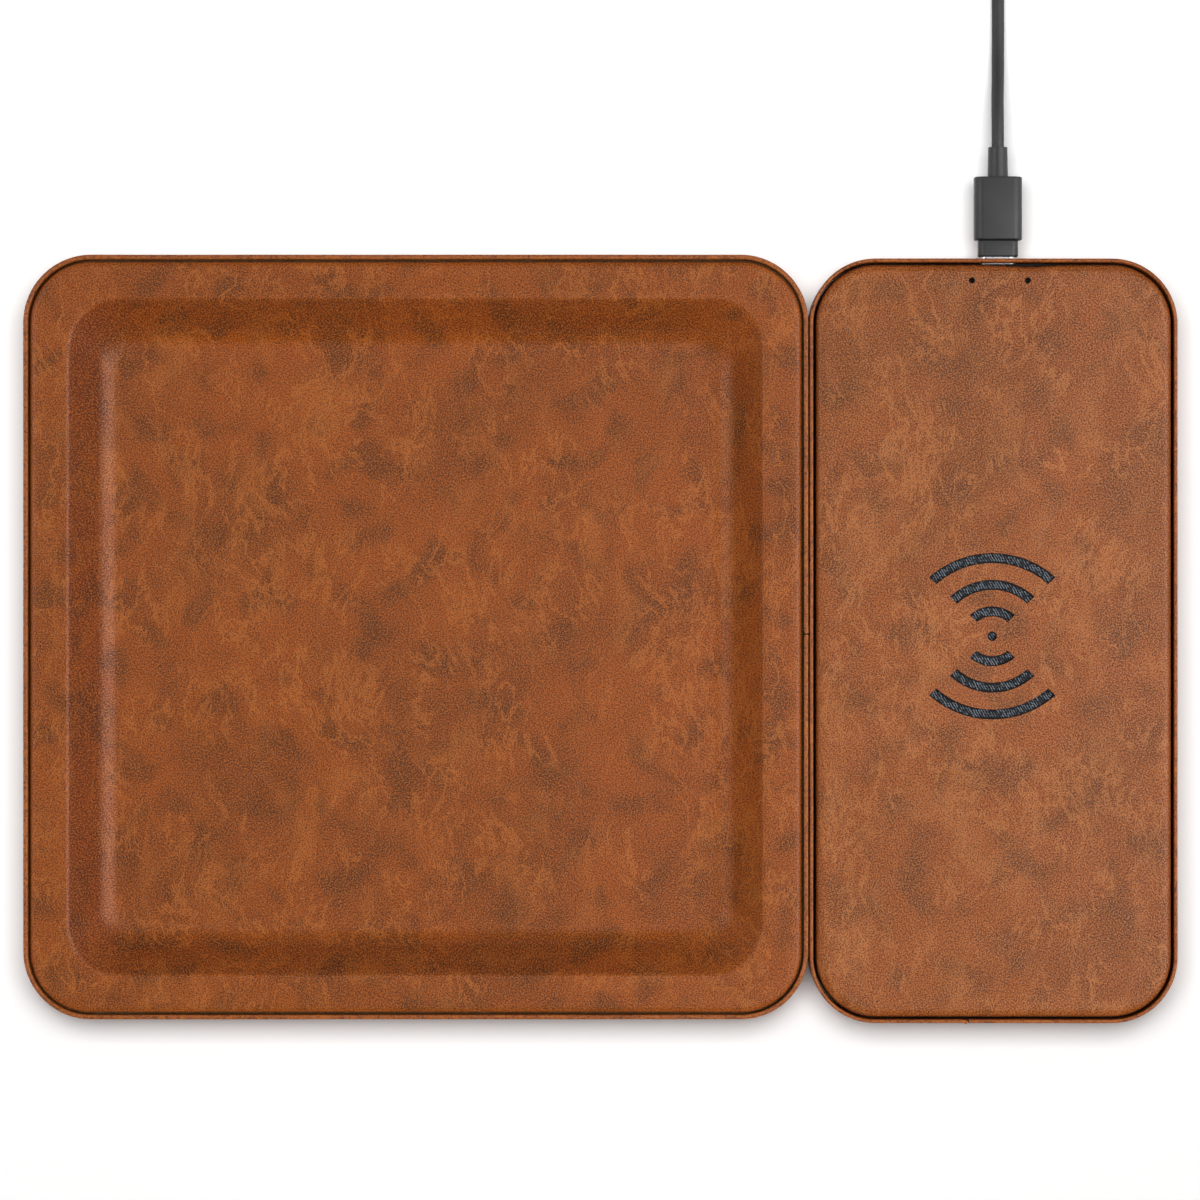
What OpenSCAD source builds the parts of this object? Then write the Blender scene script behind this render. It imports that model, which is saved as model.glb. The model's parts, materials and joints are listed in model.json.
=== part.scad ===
// Charging station organizer: a leather-covered catch-all tray and a wireless charging pad that lie
// side by side and hold together with hidden magnets, with the charging pad's USB-C lead.
// +Z is up, z = 0 is the table, and the origin lies under the middle of the two modules' outline.

/* [Modules] */
// Width of the tray
tray_w = 191; // [170:1:230]
// Width of the charging pad
charger_w = 89.5; // [84:0.5:100]
// Depth of both modules, front to back
module_d = 186; // [180:1:210]
// Corner radius of the tray's outline
tray_r = 16.5; // [14:0.5:20]
// Corner radius of the charging pad's outline
charger_r = 16; // [14:0.5:20]
// Gap between the two modules
module_gap = 0.3; // [0.3:0.1:1]
// How far the charging pad sits nearer the front than the tray
charger_shift = 0.92; // [0:0.02:2]

/* [Leather] */
// Thickness of the leather that covers the tops
leather_t = 0.9; // [0.6:0.1:1.2]
// Thickness of the leather band round each module's side
band_t = 1.15; // [0.8:0.05:1.5]
// How far the band's upper edge lies below the top face
band_drop = 0.5; // [0.3:0.1:1.5]
// How far the band's lower edge stands clear of the table
band_lift = 1.2; // [1.1:0.1:2]
// Gap between the two ends of a band where they butt
butt_gap = 0.3; // [0.2:0.1:0.6]
// Open groove between the tray's band and its cover
tray_groove = 0.5; // [0.3:0.05:0.9]
// Open groove between the charging pad's band and its cover
charger_groove = 0.65; // [0.3:0.05:0.9]
// Place of the joint in the tray's band, behind the tray's middle on its right side
tray_butt_dy = 0.7; // [-20:0.1:20]
// Place of the joint in the charging pad's band, right of its middle on its front side
charger_butt_dx = -6.2; // [-15:0.1:15]
// Radius to which the tray's cover rolls over at its edge
tray_edge_r = 1.4; // [1.3:0.1:2.4]
// Radius to which the charging pad's cover rolls over at its edge
charger_edge_r = 1.7; // [1.3:0.1:2.6]
// Depth below the top face to which a cover's skirt reaches
skirt_h = 3.6; // [3.2:0.1:4]

/* [Basin] */
// Depth of the tray's basin below its rim
basin_depth = 9.5; // [9:0.1:13]
// Width of the tray's rim, from the outline to where it starts to turn down
rim_w = 10.3; // [9:0.1:16]
// Radius of the turn from the rim down into the basin
crease_r = 1.5; // [1.2:0.1:2]
// Slope of the basin's wall from level
wall_angle = 48; // [40:1:58]
// Radius of the hollow turn from the wall to the basin's floor
cove_r = 7; // [6:0.5:8]
// Corner radius of the basin where it starts to turn down
basin_r = 13; // [12:0.5:18]

/* [Base] */
// Thickness of the rubber feet
foot_h = 1; // [0.8:0.1:1.1]
// Diameter of the rubber feet
foot_d = 12; // [8:1:14]
// Distance of each foot's middle from the two nearest sides
foot_inset = 18; // [16:1:24]
// Thickness of the lining sheet under each base
lining_t = 0.6; // [0.4:0.1:0.8]
// Distance of the lining's edge from the outline
lining_inset = 2; // [1.5:0.5:4]
// Thickness of the tray's base board
board_t = 2; // [1.6:0.1:3]

/* [Magnets] */
// Diameter of the joining magnets
magnet_d = 6; // [5:0.5:6.5]
// Thickness of the joining magnets
magnet_t = 2; // [1.5:0.1:2.5]
// Height of the magnets' middles above the table
magnet_z = 7; // [6.7:0.1:7.2]
// Distances of the magnets' middles to each side of the origin
magnet_ys = [25, 62]; // [20:1:65]

/* [Charging pad housing] */
// Thickness of the lower housing's wall
housing_wall = 2.8; // [2.6:0.1:3.2]
// Thickness of the lower housing's floor
housing_floor = 1.8; // [1.6:0.1:2]
// Thickness of the top plate
top_plate_t = 2; // [1.8:0.1:2.4]
// Diameter of the housing screws
screw_d = 2; // [1.6:0.1:2.2]
// Diameter of the housing screws' heads
screw_head_d = 4; // [3.4:0.1:4.4]
// Height of the housing screws' heads
screw_head_h = 0.9; // [0.7:0.1:1]
// Distance of the housing screws from the two nearest sides
screw_inset = 12; // [11:0.5:14]
// Diameter of the screw bosses and posts
boss_d = 6; // [5.6:0.1:7]
// Height of the screw bosses above the housing's floor
boss_h = 3.2; // [2:0.1:4]

/* [Symbol] */
// Place of the symbol's dot to the right of the charging pad's middle
symbol_dx = -0.4; // [-4:0.1:4]
// Place of the symbol's dot behind the charging pad's middle
symbol_dy = 1.1; // [-6:0.1:6]
// Diameter of the dot
dot_d = 2.3; // [1.6:0.1:3]
// Width of each wave
wave_w = 2.44; // [1.6:0.02:3]
// Angle from the dot at which each wave ends, to each side of straight up
wave_angle = 47; // [35:1:55]
// Mid-line radius of each wave, from the outer to the inner
wave_radii = [21.85, 13.7, 7]; // [6:0.05:24]
// Distance of each wave's crown from the dot, from the outer to the inner
wave_crowns = [19, 12.5, 6.05]; // [5:0.05:22]
// Thickness of the black cloth behind the symbol
cloth_t = 0.3; // [0.2:0.05:0.5]
// How far the cloth reaches past the symbol on each side
cloth_margin = 3; // [2:0.5:6]

/* [Socket and circuit board] */
// Place of the socket to the right of the charging pad's middle
socket_dx = 1.45; // [-6:0.05:6]
// Height of the socket's middle above the table
socket_z = 7.5; // [7.3:0.1:7.6]
// Depth of the socket's mouth behind the band's outer face
socket_recess = 0.6; // [0.4:0.1:1]
// Length of the socket's shell
socket_len = 7.3; // [7:0.1:8]
// Wall of the socket's shell
socket_wall = 0.3; // [0.25:0.05:0.32]
// Width of the circuit board
pcb_w = 42; // [40:1:46]
// Depth of the circuit board, front to back
pcb_d = 24; // [22:0.5:30]
// Thickness of the circuit board
pcb_t = 1; // [0.8:0.1:1.2]
// Distance between the two status lights
led_pitch = 13.6; // [12.5:0.1:15]
// Distance of the status lights from the charging pad's back face
led_inset = 5.4; // [5:0.1:6]
// Diameter of the status lights' holes in the leather
led_hole_d = 1.4; // [1.2:0.1:2]

/* [Charging coil] */
// Turns of wire in the charging coil
coil_turns = 10; // [8:1:11]
// Radius of the innermost turn's mid-line
coil_in_r = 11; // [9:0.5:12]
// Distance from one turn to the next
coil_pitch = 1.15; // [1.1:0.05:1.3]
// Width and thickness of the wire
wire_d = 1; // [0.8:0.05:1]
// Side of the square magnetic shield
shield_w = 53; // [50:1:56]
// Thickness of the magnetic shield
shield_t = 1; // [0.95:0.05:1.2]
// Side of the square carrier under the shield
carrier_w = 57; // [56:1:60]
// Thickness of the carrier
carrier_t = 1.2; // [1:0.1:1.4]

/* [Lead] */
// Diameter of the cord
cord_d = 3.05; // [2.8:0.05:3.2]
// Width of the USB-C plug's metal shell
plug_shell_w = 8.25; // [8.2:0.01:8.3]
// Height of the USB-C plug's metal shell
plug_shell_h = 2.4; // [2.3:0.05:2.45]
// Sheet thickness of the plugs' metal shells
plug_wall = 0.3; // [0.25:0.05:0.32]
// Clearance all round between the plug and its socket
plug_clearance = 0.05; // [0.03:0.01:0.08]
// How far the metal shell reaches out of the plug's nose
plug_reach = 6.65; // [6.2:0.05:6.7]
// Metal that still shows between the band and the nose when plugged in
plug_show = 0.7; // [0.5:0.1:1]
// Width of the plug's nose
nose_w = 9.75; // [9.5:0.05:10.5]
// Height of the plug's nose
nose_h = 4.6; // [4.2:0.1:5]
// Length of the plug's nose
nose_len = 4.1; // [3:0.1:5]
// Width of the plug's grip
grip_w = 11.65; // [10.8:0.05:12.3]
// Height of the plug's grip
grip_h = 6.6; // [6:0.1:7]
// Length of the plug's grip
grip_len = 15.4; // [12:0.1:20]
// Length of the plug's strain relief
relief_len = 7.3; // [6:0.1:12]
// Diameter of the strain relief
relief_d = 5; // [4:0.1:6]
// Air between neighbouring turns of the stored cord
turn_air = 0.5; // [0.45:0.05:0.8]
// Turns of the stored cord
stored_turns = 8.25; // [6.25, 7.25, 8.25]
// Radius of the stored cord's innermost turn
stored_in_r = 10.4; // [10:0.1:12]
// Thickness of the tie round the stored cord
tie_t = 0.6; // [0.4:0.1:0.8]
// Width of the tie
tie_w = 6; // [4:0.5:7]
// Width of the USB-A plug's grip
a_grip_w = 15.5; // [14:0.5:16.5]
// Height of the USB-A plug's grip
a_grip_h = 8; // [7:0.1:8.4]
// Length of the USB-A plug's grip
a_grip_len = 22; // [18:0.5:26]
// Width of the USB-A plug's metal shell
a_shell_w = 12; // [11.9:0.05:12.1]
// Height of the USB-A plug's metal shell
a_shell_h = 4.5; // [4.4:0.05:4.6]
// Length of the USB-A plug's metal shell
a_shell_len = 12; // [11.5:0.1:12.5]
// Length of the USB-A plug's strain relief
a_relief_len = 9; // [7:0.5:12]

/* [Hidden] */

fit = 0.05;          // clearance between pieces that seat on each other
slip = 0.1;          // extra length of a cutter past the face it cuts
arc_steps = 8;       // steps in each quarter of a cover's outline
roll_steps = 5;      // steps round a rolled edge
cove_steps = 6;      // steps round the basin's cove
round_fn = 64;       // facets of a drawn circle
leather = "#9a4f22";
black = "#222222";
lead_grey = "#4a4a4a";
steel = "#c9c9c9";

module_h = foot_h + lining_t + board_t + leather_t + basin_depth;
base_z = foot_h + lining_t;
outline_w = tray_w + module_gap + charger_w;
// A module is its middle x, middle y, width, depth and corner radius
tray = [-outline_w / 2 + tray_w / 2, charger_shift / 2, tray_w, module_d, tray_r];
charger = [outline_w / 2 - charger_w / 2, -charger_shift / 2, charger_w, module_d, charger_r];
seat_s = band_t + fit;
band_z0 = band_lift;
band_z1 = module_h - band_drop;
skirt_z = module_h - skirt_h;

basin_z = module_h - basin_depth;
board_z1 = base_z + board_t;
corner_ease = 0.6;   // how fast the basin's corners tighten on the way down
toe_angle = 24;      // where the frame's toe ends on the cove
wall_top_s = rim_w + crease_r * sin(wall_angle);
wall_top_z = module_h - crease_r * (1 - cos(wall_angle));
wall_foot_z = basin_z + cove_r * (1 - cos(wall_angle));
cove_s = wall_top_s + (wall_top_z - wall_foot_z) / tan(wall_angle) + cove_r * sin(wall_angle);

plate_z1 = module_h - leather_t - fit;
plate_z0 = plate_z1 - top_plate_t;
charger_skirt_s = band_t + charger_groove;
plate_s = charger_skirt_s + leather_t + fit;
housing_s = seat_s + housing_wall;
floor_z = base_z + housing_floor;
ledge_z = skirt_z - fit;
head_sink = 0.2;     // how deep the screws' heads lie in the housing's underside
screw_z0 = base_z + head_sink;
boss_z1 = floor_z + boss_h;
screw_tip_z = plate_z0 - 0.6;

symbol_x = charger[0] + symbol_dx;
symbol_y = charger[1] + symbol_dy;
cloth_w = 2 * ((wave_radii[0] + wave_w) * sin(wave_angle) + cloth_margin);
cloth_d = 2 * (wave_crowns[0] + wave_w / 2 + cloth_margin);

back_y = charger[1] + module_d / 2;
socket_w = plug_shell_w + 2 * (plug_clearance + socket_wall);
socket_h = plug_shell_h + 2 * (plug_clearance + socket_wall);
socket_x = charger[0] + socket_dx;
socket_y1 = back_y - socket_recess;
socket_y0 = socket_y1 - socket_len;
pcb_z1 = socket_z - socket_h / 2 - fit;
pcb_z0 = pcb_z1 - pcb_t;
pcb_y1 = back_y - housing_s - 0.3;
pcb_y0 = pcb_y1 - pcb_d;
tongue_w = 6.7;
tongue_h = 0.7;
tongue_block = 0.4;  // how far the tongue's block stays behind the plug's tip
socket_rim = 0.4;    // air round the socket in the band's opening
standoff_inset = 3;
standoff_d = 4.4;
board_screw_d = 1.4;
led_y = back_y - led_inset;
led_xs = [socket_x - led_pitch / 2, socket_x + led_pitch / 2];
chip_size = [5, 5, 0.9];
transistor_size = [3, 3, 0.8];
transistor_pitch = 4.4;
inductor_size = [6.6, 6.6, 3];
capacitor_size = [4.5, 3.2, 2.4];
capacitor_pitch = [5.6, 4.2];
led_size = [1.6, 0.8, 0.7];
screw_cap = [2.6, 0.8];  // diameter and height of the board screws' heads
pipe_d = led_hole_d - 0.3;
pipe_foot_d = 1.8;
pipe_collar_d = 2.8;
pipe_air = 0.3;      // air between a status light and its light pipe
pipe_sink = 1.8;     // how deep the light pipes end below the top face
pipe_collar_z = plate_z0 - 0.9;

coil_z1 = plate_z0 - fit;
coil_z0 = coil_z1 - wire_d;
shield_z1 = coil_z0 - fit;
shield_z0 = shield_z1 - shield_t;
carrier_z1 = shield_z0 - fit;
carrier_z0 = carrier_z1 - carrier_t;
carrier_leg_d = 5;
lead_d = 0.9;
slot_w = lead_d + 0.6;
slot_start = 3;      // how far inside the coil's innermost turn the shield's slot begins
lead_spread = 2.7;   // distance between the coil's two leads
lead_overrun = 5;    // how far the leads run on past the shield before they drop
pad_len = 2.2;       // length of a lead's end that lies on the board

nose_y = back_y + plug_show;
grip_y = nose_y + nose_len;
relief_y = grip_y + grip_len;
exit_y = relief_y + relief_len;
plug_tip_y = nose_y - plug_reach;

nose_r = 1.6;        // corner radius of the USB-C plug's nose
grip_r = 2.2;        // corner radius of both plugs' grips
contact_gap = 0.2;   // how far the plug's contacts stay behind its tip
contact_slot = 6;    // depth of the slot that takes the socket's tongue
relief_taper = 0.3;  // how much a strain relief narrows towards the cord
tie_air = 0.3;       // air between the tie and the turns that it holds
a_window = [2.2, 2.5];        // length and width of the windows in the USB-A shell
a_tongue_root = 3;   // length of the block that carries the USB-A tongue
a_tongue_gap = 0.8;  // how far the USB-A tongue stays behind the shell's edge

turn_pitch = cord_d + turn_air;
stored_z = tie_t + fit + cord_d / 2;
stored_rise = cord_d + turn_air;
half_turns = stored_turns / 2;
stored_out_r = stored_in_r + turn_pitch * half_turns;
stored_y = exit_y + 67;
cord_x = socket_x + 0.5;   // the cord lies a little to the right of the plug's line
stored_x = cord_x - stored_out_r;
steps_per_turn = 24;
a_z = a_grip_h / 2;
tail_len = 19;
tail_y = stored_y + stored_out_r;
a_relief_x = stored_x - tail_len;
a_grip_x = a_relief_x - a_relief_len;
a_shell_x = a_grip_x - a_grip_len;

// Route of the cord to the stored turns, as [x, distance from the strain relief, height above the table]
run_points = [[socket_x, 0, socket_z], [socket_x, 3.1, socket_z], [socket_x, 8, 7],
    [socket_x + 0.1, 13, 5.6], [socket_x + 0.3, 18, 4], [socket_x + 0.4, 23, 2.7], [cord_x, 28, 1.9],
    [cord_x, 34, 1.6], [cord_x, 41, 1.6], [cord_x, 48, 1.6], [cord_x, 54, 1.8], [cord_x, 59, stored_z],
    [cord_x, 63.9, stored_z]];

// Quarter circle of outline points about [cx, cy]
function corner_arc(cx, cy, r, from) =
    [for (i = [0:arc_steps]) let (a = from + 90 * i / arc_steps) [cx + r * cos(a), cy + r * sin(a)]];

// Rounded outline of module m, moved inwards by inset, with corner radius r
function outline(m, inset, r) =
    let (x = m[2] / 2 - inset - r, y = m[3] / 2 - inset - r)
    concat(corner_arc(m[0] + x, m[1] - y, r, -90), corner_arc(m[0] + x, m[1] + y, r, 0),
        corner_arc(m[0] - x, m[1] + y, r, 90), corner_arc(m[0] - x, m[1] - y, r, 180));

// Profiles are lists of [inset, height]; o is how far the surface lies under the leather's face
function roll(skirt_s, r, o) =
    [for (i = [0:roll_steps]) let (a = 90 * i / roll_steps)
        [skirt_s + r - (r - o) * cos(a), module_h - r + (r - o) * sin(a)]];
function crease(o) =
    [for (i = [0:3]) let (a = wall_angle * i / 3)
        [rim_w + (crease_r - o) * sin(a), module_h - crease_r + (crease_r - o) * cos(a)]];
function cove(o, last) =
    [for (i = [0:cove_steps]) let (a = wall_angle + (last - wall_angle) * i / cove_steps)
        [cove_s - (cove_r + o) * sin(a), basin_z + cove_r - (cove_r + o) * cos(a)]];
function reversed(list) = [for (i = [len(list) - 1:-1:0]) list[i]];

// Corner radius of the tray's outline at an inset: the rim follows the outside, the basin its own
function tray_corner(s) = s < rim_w - 0.01 ? tray_r - s : basin_r - corner_ease * (s - rim_w);

// Solid through a stack of outlines, each [inset, height, corner radius]; a ring joins up with itself
module loft(m, stack, ring = false) {
    n = 4 * (arc_steps + 1);
    count = len(stack);
    points = [for (s = stack, p = outline(m, s[0], s[2])) [p[0], p[1], s[1]]];
    sides = [for (i = [0:count - (ring ? 1 : 2)], j = [0:n - 1])
        let (k = (i + 1) % count, l = (j + 1) % n)
        each [[i * n + j, k * n + j, k * n + l], [i * n + j, k * n + l, i * n + l]]];
    caps = ring ? [] : [[for (j = [0:n - 1]) j], [for (j = [n - 1:-1:0]) (count - 1) * n + j]];
    polyhedron(points, concat(sides, caps), convexity = 4);
}

module tray_loft(profile, ring = false) {
    loft(tray, [for (p = profile) [p[0], p[1], tray_corner(p[0])]], ring);
}

module charger_loft(profile) {
    loft(charger, [for (p = profile) [p[0], p[1], charger_r - p[0]]]);
}

// Flat rounded area of module m
module footprint(m, inset) {
    w = m[2] - 2 * inset;
    d = m[3] - 2 * inset;
    r = m[4] - inset;
    translate([m[0], m[1]]) {
        square([w - 2 * r, d], center = true);
        square([w, d - 2 * r], center = true);
        for (x = [-1, 1], y = [-1, 1])
            translate([x * (w / 2 - r), y * (d / 2 - r)]) circle(r, $fn = round_fn);
    }
}

module slab(m, inset, z0, z1) {
    translate([0, 0, z0]) linear_extrude(z1 - z0) footprint(m, inset);
}

// Area with half-round ends, as a USB-C shell has
module stadium(w, h) {
    square([w - h, h], center = true);
    for (x = [-1, 1]) translate([x * (w - h) / 2, 0]) circle(h / 2, $fn = 32);
}

module rounded_area(w, h, r) {
    square([w - 2 * r, h], center = true);
    square([w, h - 2 * r], center = true);
    for (x = [-1, 1], y = [-1, 1])
        translate([x * (w / 2 - r), y * (h / 2 - r)]) circle(r, $fn = 32);
}

// Stands an area up across Y, from y0 to y1, about the socket's axis
module along_y(y0, y1) {
    translate([socket_x, y1, socket_z]) rotate([90, 0, 0]) linear_extrude(y1 - y0) children();
}

// Stands an area up across X, from x0 to x1, about the stored plug's axis
module along_x(x0, x1) {
    translate([x0, tail_y, a_z]) rotate([90, 0, 90]) linear_extrude(x1 - x0) children();
}

module disc(x, y, z0, z1, d) {
    translate([x, y, z0]) cylinder(d = d, h = z1 - z0, $fn = 48);
}

// Children at four places, each inset from the two nearest sides of module m
module at_corners(m, inset) {
    for (x = [-1, 1], y = [-1, 1])
        translate([m[0] + x * (m[2] / 2 - inset), m[1] + y * (m[3] / 2 - inset), 0]) children();
}

function unit(v) = v / norm(v);
function path_dir(path, i) =
    unit(path[min(i + 1, len(path) - 1)] - path[max(i - 1, 0)]);
// Tube of round section through the points of a path, closed at both ends
module tube(path, r, sides) {
    last = len(path) - 1;
    points = [for (i = [0:last])
        let (along = path_dir(path, i), across = unit(cross(along, [0, 0, 1])), up = cross(across, along))
        for (j = [0:sides - 1])
            let (a = 360 * j / sides - 90) path[i] + r * (cos(a) * across + sin(a) * up)];
    faces = [for (i = [0:last - 1], j = [0:sides - 1])
        let (l = (j + 1) % sides, here = i * sides, next = (i + 1) * sides)
        each [[here + j, next + j, next + l], [here + j, next + l, here + l]]];
    caps = [[for (j = [0:sides - 1]) j], [for (j = [sides - 1:-1:0]) last * sides + j]];
    polyhedron(points, concat(faces, caps), convexity = 6);
}

// Band round module m, cut through at the point butt, where turn sets the cut across the band
module side_band(m, butt, turn) {
    color(leather) difference() {
        translate([0, 0, band_z0]) linear_extrude(band_z1 - band_z0) difference() {
            footprint(m, 0);
            footprint(m, band_t);
            translate(butt) rotate(turn) square([2 * band_t, butt_gap], center = true);
        }
        children();
    }
}

// One pocket or disc for each magnet, standing on the plane x and reaching deep into it
module magnet_row(x, depth, d) {
    for (y = magnet_ys, side = [-1, 1])
        translate([x, side * y, magnet_z]) rotate([0, 90, 0]) cylinder(d = d, h = depth, $fn = 48);
}

// Tray

module tray_cover() {
    skirt_s = band_t + tray_groove;
    color(leather) tray_loft(concat(
        reversed(cove(leather_t, 0)), reversed(crease(leather_t)),
        reversed(roll(skirt_s, tray_edge_r, leather_t)),
        [[skirt_s + leather_t, skirt_z], [skirt_s, skirt_z]],
        roll(skirt_s, tray_edge_r, 0), crease(0), cove(0, 0)));
}

module tray_rim_frame() {
    skirt_s = band_t + tray_groove;
    o = leather_t + fit;
    toe = cove(o, toe_angle);
    right = tray[0] + tray_w / 2 - seat_s;
    color("#8a7a60") difference() {
        tray_loft(concat([[seat_s, board_z1], [seat_s, ledge_z], [skirt_s + o, ledge_z]],
            roll(skirt_s, tray_edge_r, o), crease(o), toe, [[toe[cove_steps][0], board_z1]]), ring = true);
        magnet_row(right - magnet_t - fit, magnet_t + fit + slip, magnet_d + 2 * fit);
    }
}

module tray_base_board() {
    color("#7d6c52") slab(tray, seat_s, base_z, board_z1);
}

module tray_side_band() {
    side_band(tray, [tray[0] + (tray_w - band_t) / 2, tray[1] + tray_butt_dy], 0);
}

module tray_base_lining() {
    color(black) slab(tray, lining_inset, foot_h, base_z);
}

module tray_feet() {
    color("#303030") at_corners(tray, foot_inset) cylinder(d = foot_d, h = foot_h, $fn = 48);
}

module tray_magnets() {
    color(steel) magnet_row(tray[0] + tray_w / 2 - seat_s - magnet_t, magnet_t, magnet_d);
}

// Charging pad

// One wave of the symbol: a ring about a point below the dot, cut off along two rays from the dot
module wave(radius, crown) {
    reach = 2 * radius;
    intersection() {
        translate([0, crown - radius]) difference() {
            circle(radius + wave_w / 2, $fn = 96);
            circle(radius - wave_w / 2, $fn = 96);
        }
        polygon([[0, 0], [reach * sin(wave_angle), reach * cos(wave_angle)],
            [-reach * sin(wave_angle), reach * cos(wave_angle)]]);
    }
}

module symbol() {
    circle(d = dot_d, $fn = 32);
    for (i = [0:len(wave_radii) - 1], turn = [0, 180])
        rotate(turn) wave(wave_radii[i], wave_crowns[i]);
}

module charger_cover() {
    color(leather) difference() {
        charger_loft(concat(reversed(roll(charger_skirt_s, charger_edge_r, leather_t)),
            [[charger_skirt_s + leather_t, skirt_z], [charger_skirt_s, skirt_z]],
            roll(charger_skirt_s, charger_edge_r, 0)));
        translate([symbol_x, symbol_y, plate_z1 - slip]) linear_extrude(leather_t + 3 * slip) symbol();
        for (x = led_xs) disc(x, led_y, plate_z1 - slip, module_h + slip, led_hole_d);
    }
}

module symbol_cloth() {
    color(black) translate([symbol_x - cloth_w / 2, symbol_y - cloth_d / 2, plate_z1 - cloth_t])
        cube([cloth_w, cloth_d, cloth_t]);
}

module charger_top_plate() {
    recess = cloth_t + fit;
    color("#3a3a3a") difference() {
        union() {
            charger_loft(concat([[plate_s, plate_z0]],
                roll(charger_skirt_s, charger_edge_r, leather_t + fit)));
            at_corners(charger, screw_inset)
                translate([0, 0, boss_z1 + fit]) cylinder(d = boss_d, h = plate_z0 - boss_z1 + slip, $fn = 48);
        }
        translate([symbol_x - cloth_w / 2 - fit, symbol_y - cloth_d / 2 - fit, plate_z1 - recess])
            cube([cloth_w + 2 * fit, cloth_d + 2 * fit, recess + slip]);
        at_corners(charger, screw_inset)
            translate([0, 0, boss_z1])
                cylinder(d = screw_d + 2 * fit, h = screw_tip_z - boss_z1 + fit, $fn = 32);
        for (x = led_xs) disc(x, led_y, plate_z0 - slip, plate_z1 + slip, pipe_d + 2 * fit);
    }
}

module charger_lower_housing() {
    left = charger[0] - charger_w / 2 + seat_s;
    color("#2c2c2c") difference() {
        union() {
            difference() {
                union() {
                    slab(charger, seat_s, base_z, ledge_z);
                    slab(charger, plate_s, ledge_z, plate_z0 - fit);
                }
                slab(charger, housing_s, floor_z, plate_z0 + slip);
            }
            at_corners(charger, screw_inset)
                translate([0, 0, floor_z]) cylinder(d = boss_d, h = boss_z1 - floor_z, $fn = 48);
            at_board_corners()
                translate([0, 0, floor_z]) cylinder(d = standoff_d, h = pcb_z0 - fit - floor_z, $fn = 32);
        }
        at_corners(charger, screw_inset) {
            translate([0, 0, base_z - slip]) cylinder(d = screw_d + 4 * fit, h = boss_z1, $fn = 32);
            translate([0, 0, base_z - slip])
                cylinder(d = screw_head_d + 4 * fit, h = head_sink + screw_head_h + fit + slip, $fn = 32);
        }
        at_board_corners()
            translate([0, 0, floor_z]) cylinder(d = board_screw_d + 2 * fit, h = pcb_z0, $fn = 24);
        along_y(back_y - housing_s - slip, back_y) stadium(socket_w + 4 * fit, socket_h + 4 * fit);
        magnet_row(left - slip, magnet_t + fit + slip, magnet_d + 2 * fit);
    }
}

module charger_side_band() {
    side_band(charger, [charger[0] + charger_butt_dx, charger[1] - (module_d - band_t) / 2], 90)
        along_y(back_y - band_t - slip, back_y + slip)
            stadium(socket_w + 2 * socket_rim, socket_h + 2 * socket_rim);
}

module charger_base_lining() {
    color(black) slab(charger, lining_inset, foot_h, base_z);
}

module charger_feet() {
    color("#303030") at_corners(charger, foot_inset) cylinder(d = foot_d, h = foot_h, $fn = 48);
}

module housing_screws() {
    color(steel) at_corners(charger, screw_inset) {
        translate([0, 0, screw_z0]) cylinder(d = screw_head_d, h = screw_head_h, $fn = 32);
        translate([0, 0, screw_z0]) cylinder(d = screw_d, h = screw_tip_z - screw_z0, $fn = 32);
    }
}

module charger_magnets() {
    color(steel) magnet_row(charger[0] - charger_w / 2 + seat_s, magnet_t, magnet_d);
}

// Circuit board and what is on it

module at_board_corners() {
    for (x = [-1, 1], y = [pcb_y0 + standoff_inset, pcb_y1 - standoff_inset])
        translate([socket_x + x * (pcb_w / 2 - standoff_inset), y, 0]) children();
}

// Block on the board with its middle at [x, y]
module on_board(x, y, size) {
    translate([x - size[0] / 2, y - size[1] / 2, pcb_z1]) cube(size);
}

module circuit_board() {
    color("#1d5a36") difference() {
        translate([socket_x - pcb_w / 2, pcb_y0, pcb_z0]) cube([pcb_w, pcb_d, pcb_t]);
        at_board_corners()
            translate([0, 0, pcb_z0 - slip]) cylinder(d = board_screw_d + 0.4, h = pcb_t + 2 * slip, $fn = 24);
    }
}

module board_screws() {
    color(steel) at_board_corners() {
        translate([0, 0, pcb_z1 + fit]) cylinder(d = screw_cap[0], h = screw_cap[1], $fn = 24);
        translate([0, 0, floor_z + fit])
            cylinder(d = board_screw_d, h = pcb_z1 + 2 * fit - floor_z, $fn = 24);
    }
}

module usb_socket_shell() {
    color(steel) along_y(socket_y0, socket_y1) difference() {
        stadium(socket_w, socket_h);
        stadium(socket_w - 2 * socket_wall, socket_h - 2 * socket_wall);
    }
}

module usb_socket_tongue() {
    inside = 2 * (socket_wall + fit);
    color("#151515") {
        along_y(socket_y0, plug_tip_y - tongue_block) stadium(socket_w - inside, socket_h - inside);
        along_y(plug_tip_y - tongue_block, socket_y1 - 0.8) square([tongue_w, tongue_h], center = true);
    }
}

module control_chip() {
    color("#101010") on_board(socket_x - 1, pcb_y0 + 11, chip_size);
}

module power_transistors() {
    color("#181818") for (i = [0:3])
        on_board(socket_x - 13 + transistor_pitch * i, pcb_y0 + 5.5, transistor_size);
}

module power_inductor() {
    color("#3d3d40") on_board(socket_x + 12, pcb_y1 - 9, inductor_size);
}

module resonant_capacitors() {
    color("#b89b6a") for (column = [0, 1], row = [0, 1])
        on_board(socket_x - 16 + capacitor_pitch[0] * column, pcb_y1 - 12.4 + capacitor_pitch[1] * row,
            capacitor_size);
}

module status_leds() {
    color("#e8e8d0") for (x = led_xs) on_board(x, led_y, led_size);
}

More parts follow.
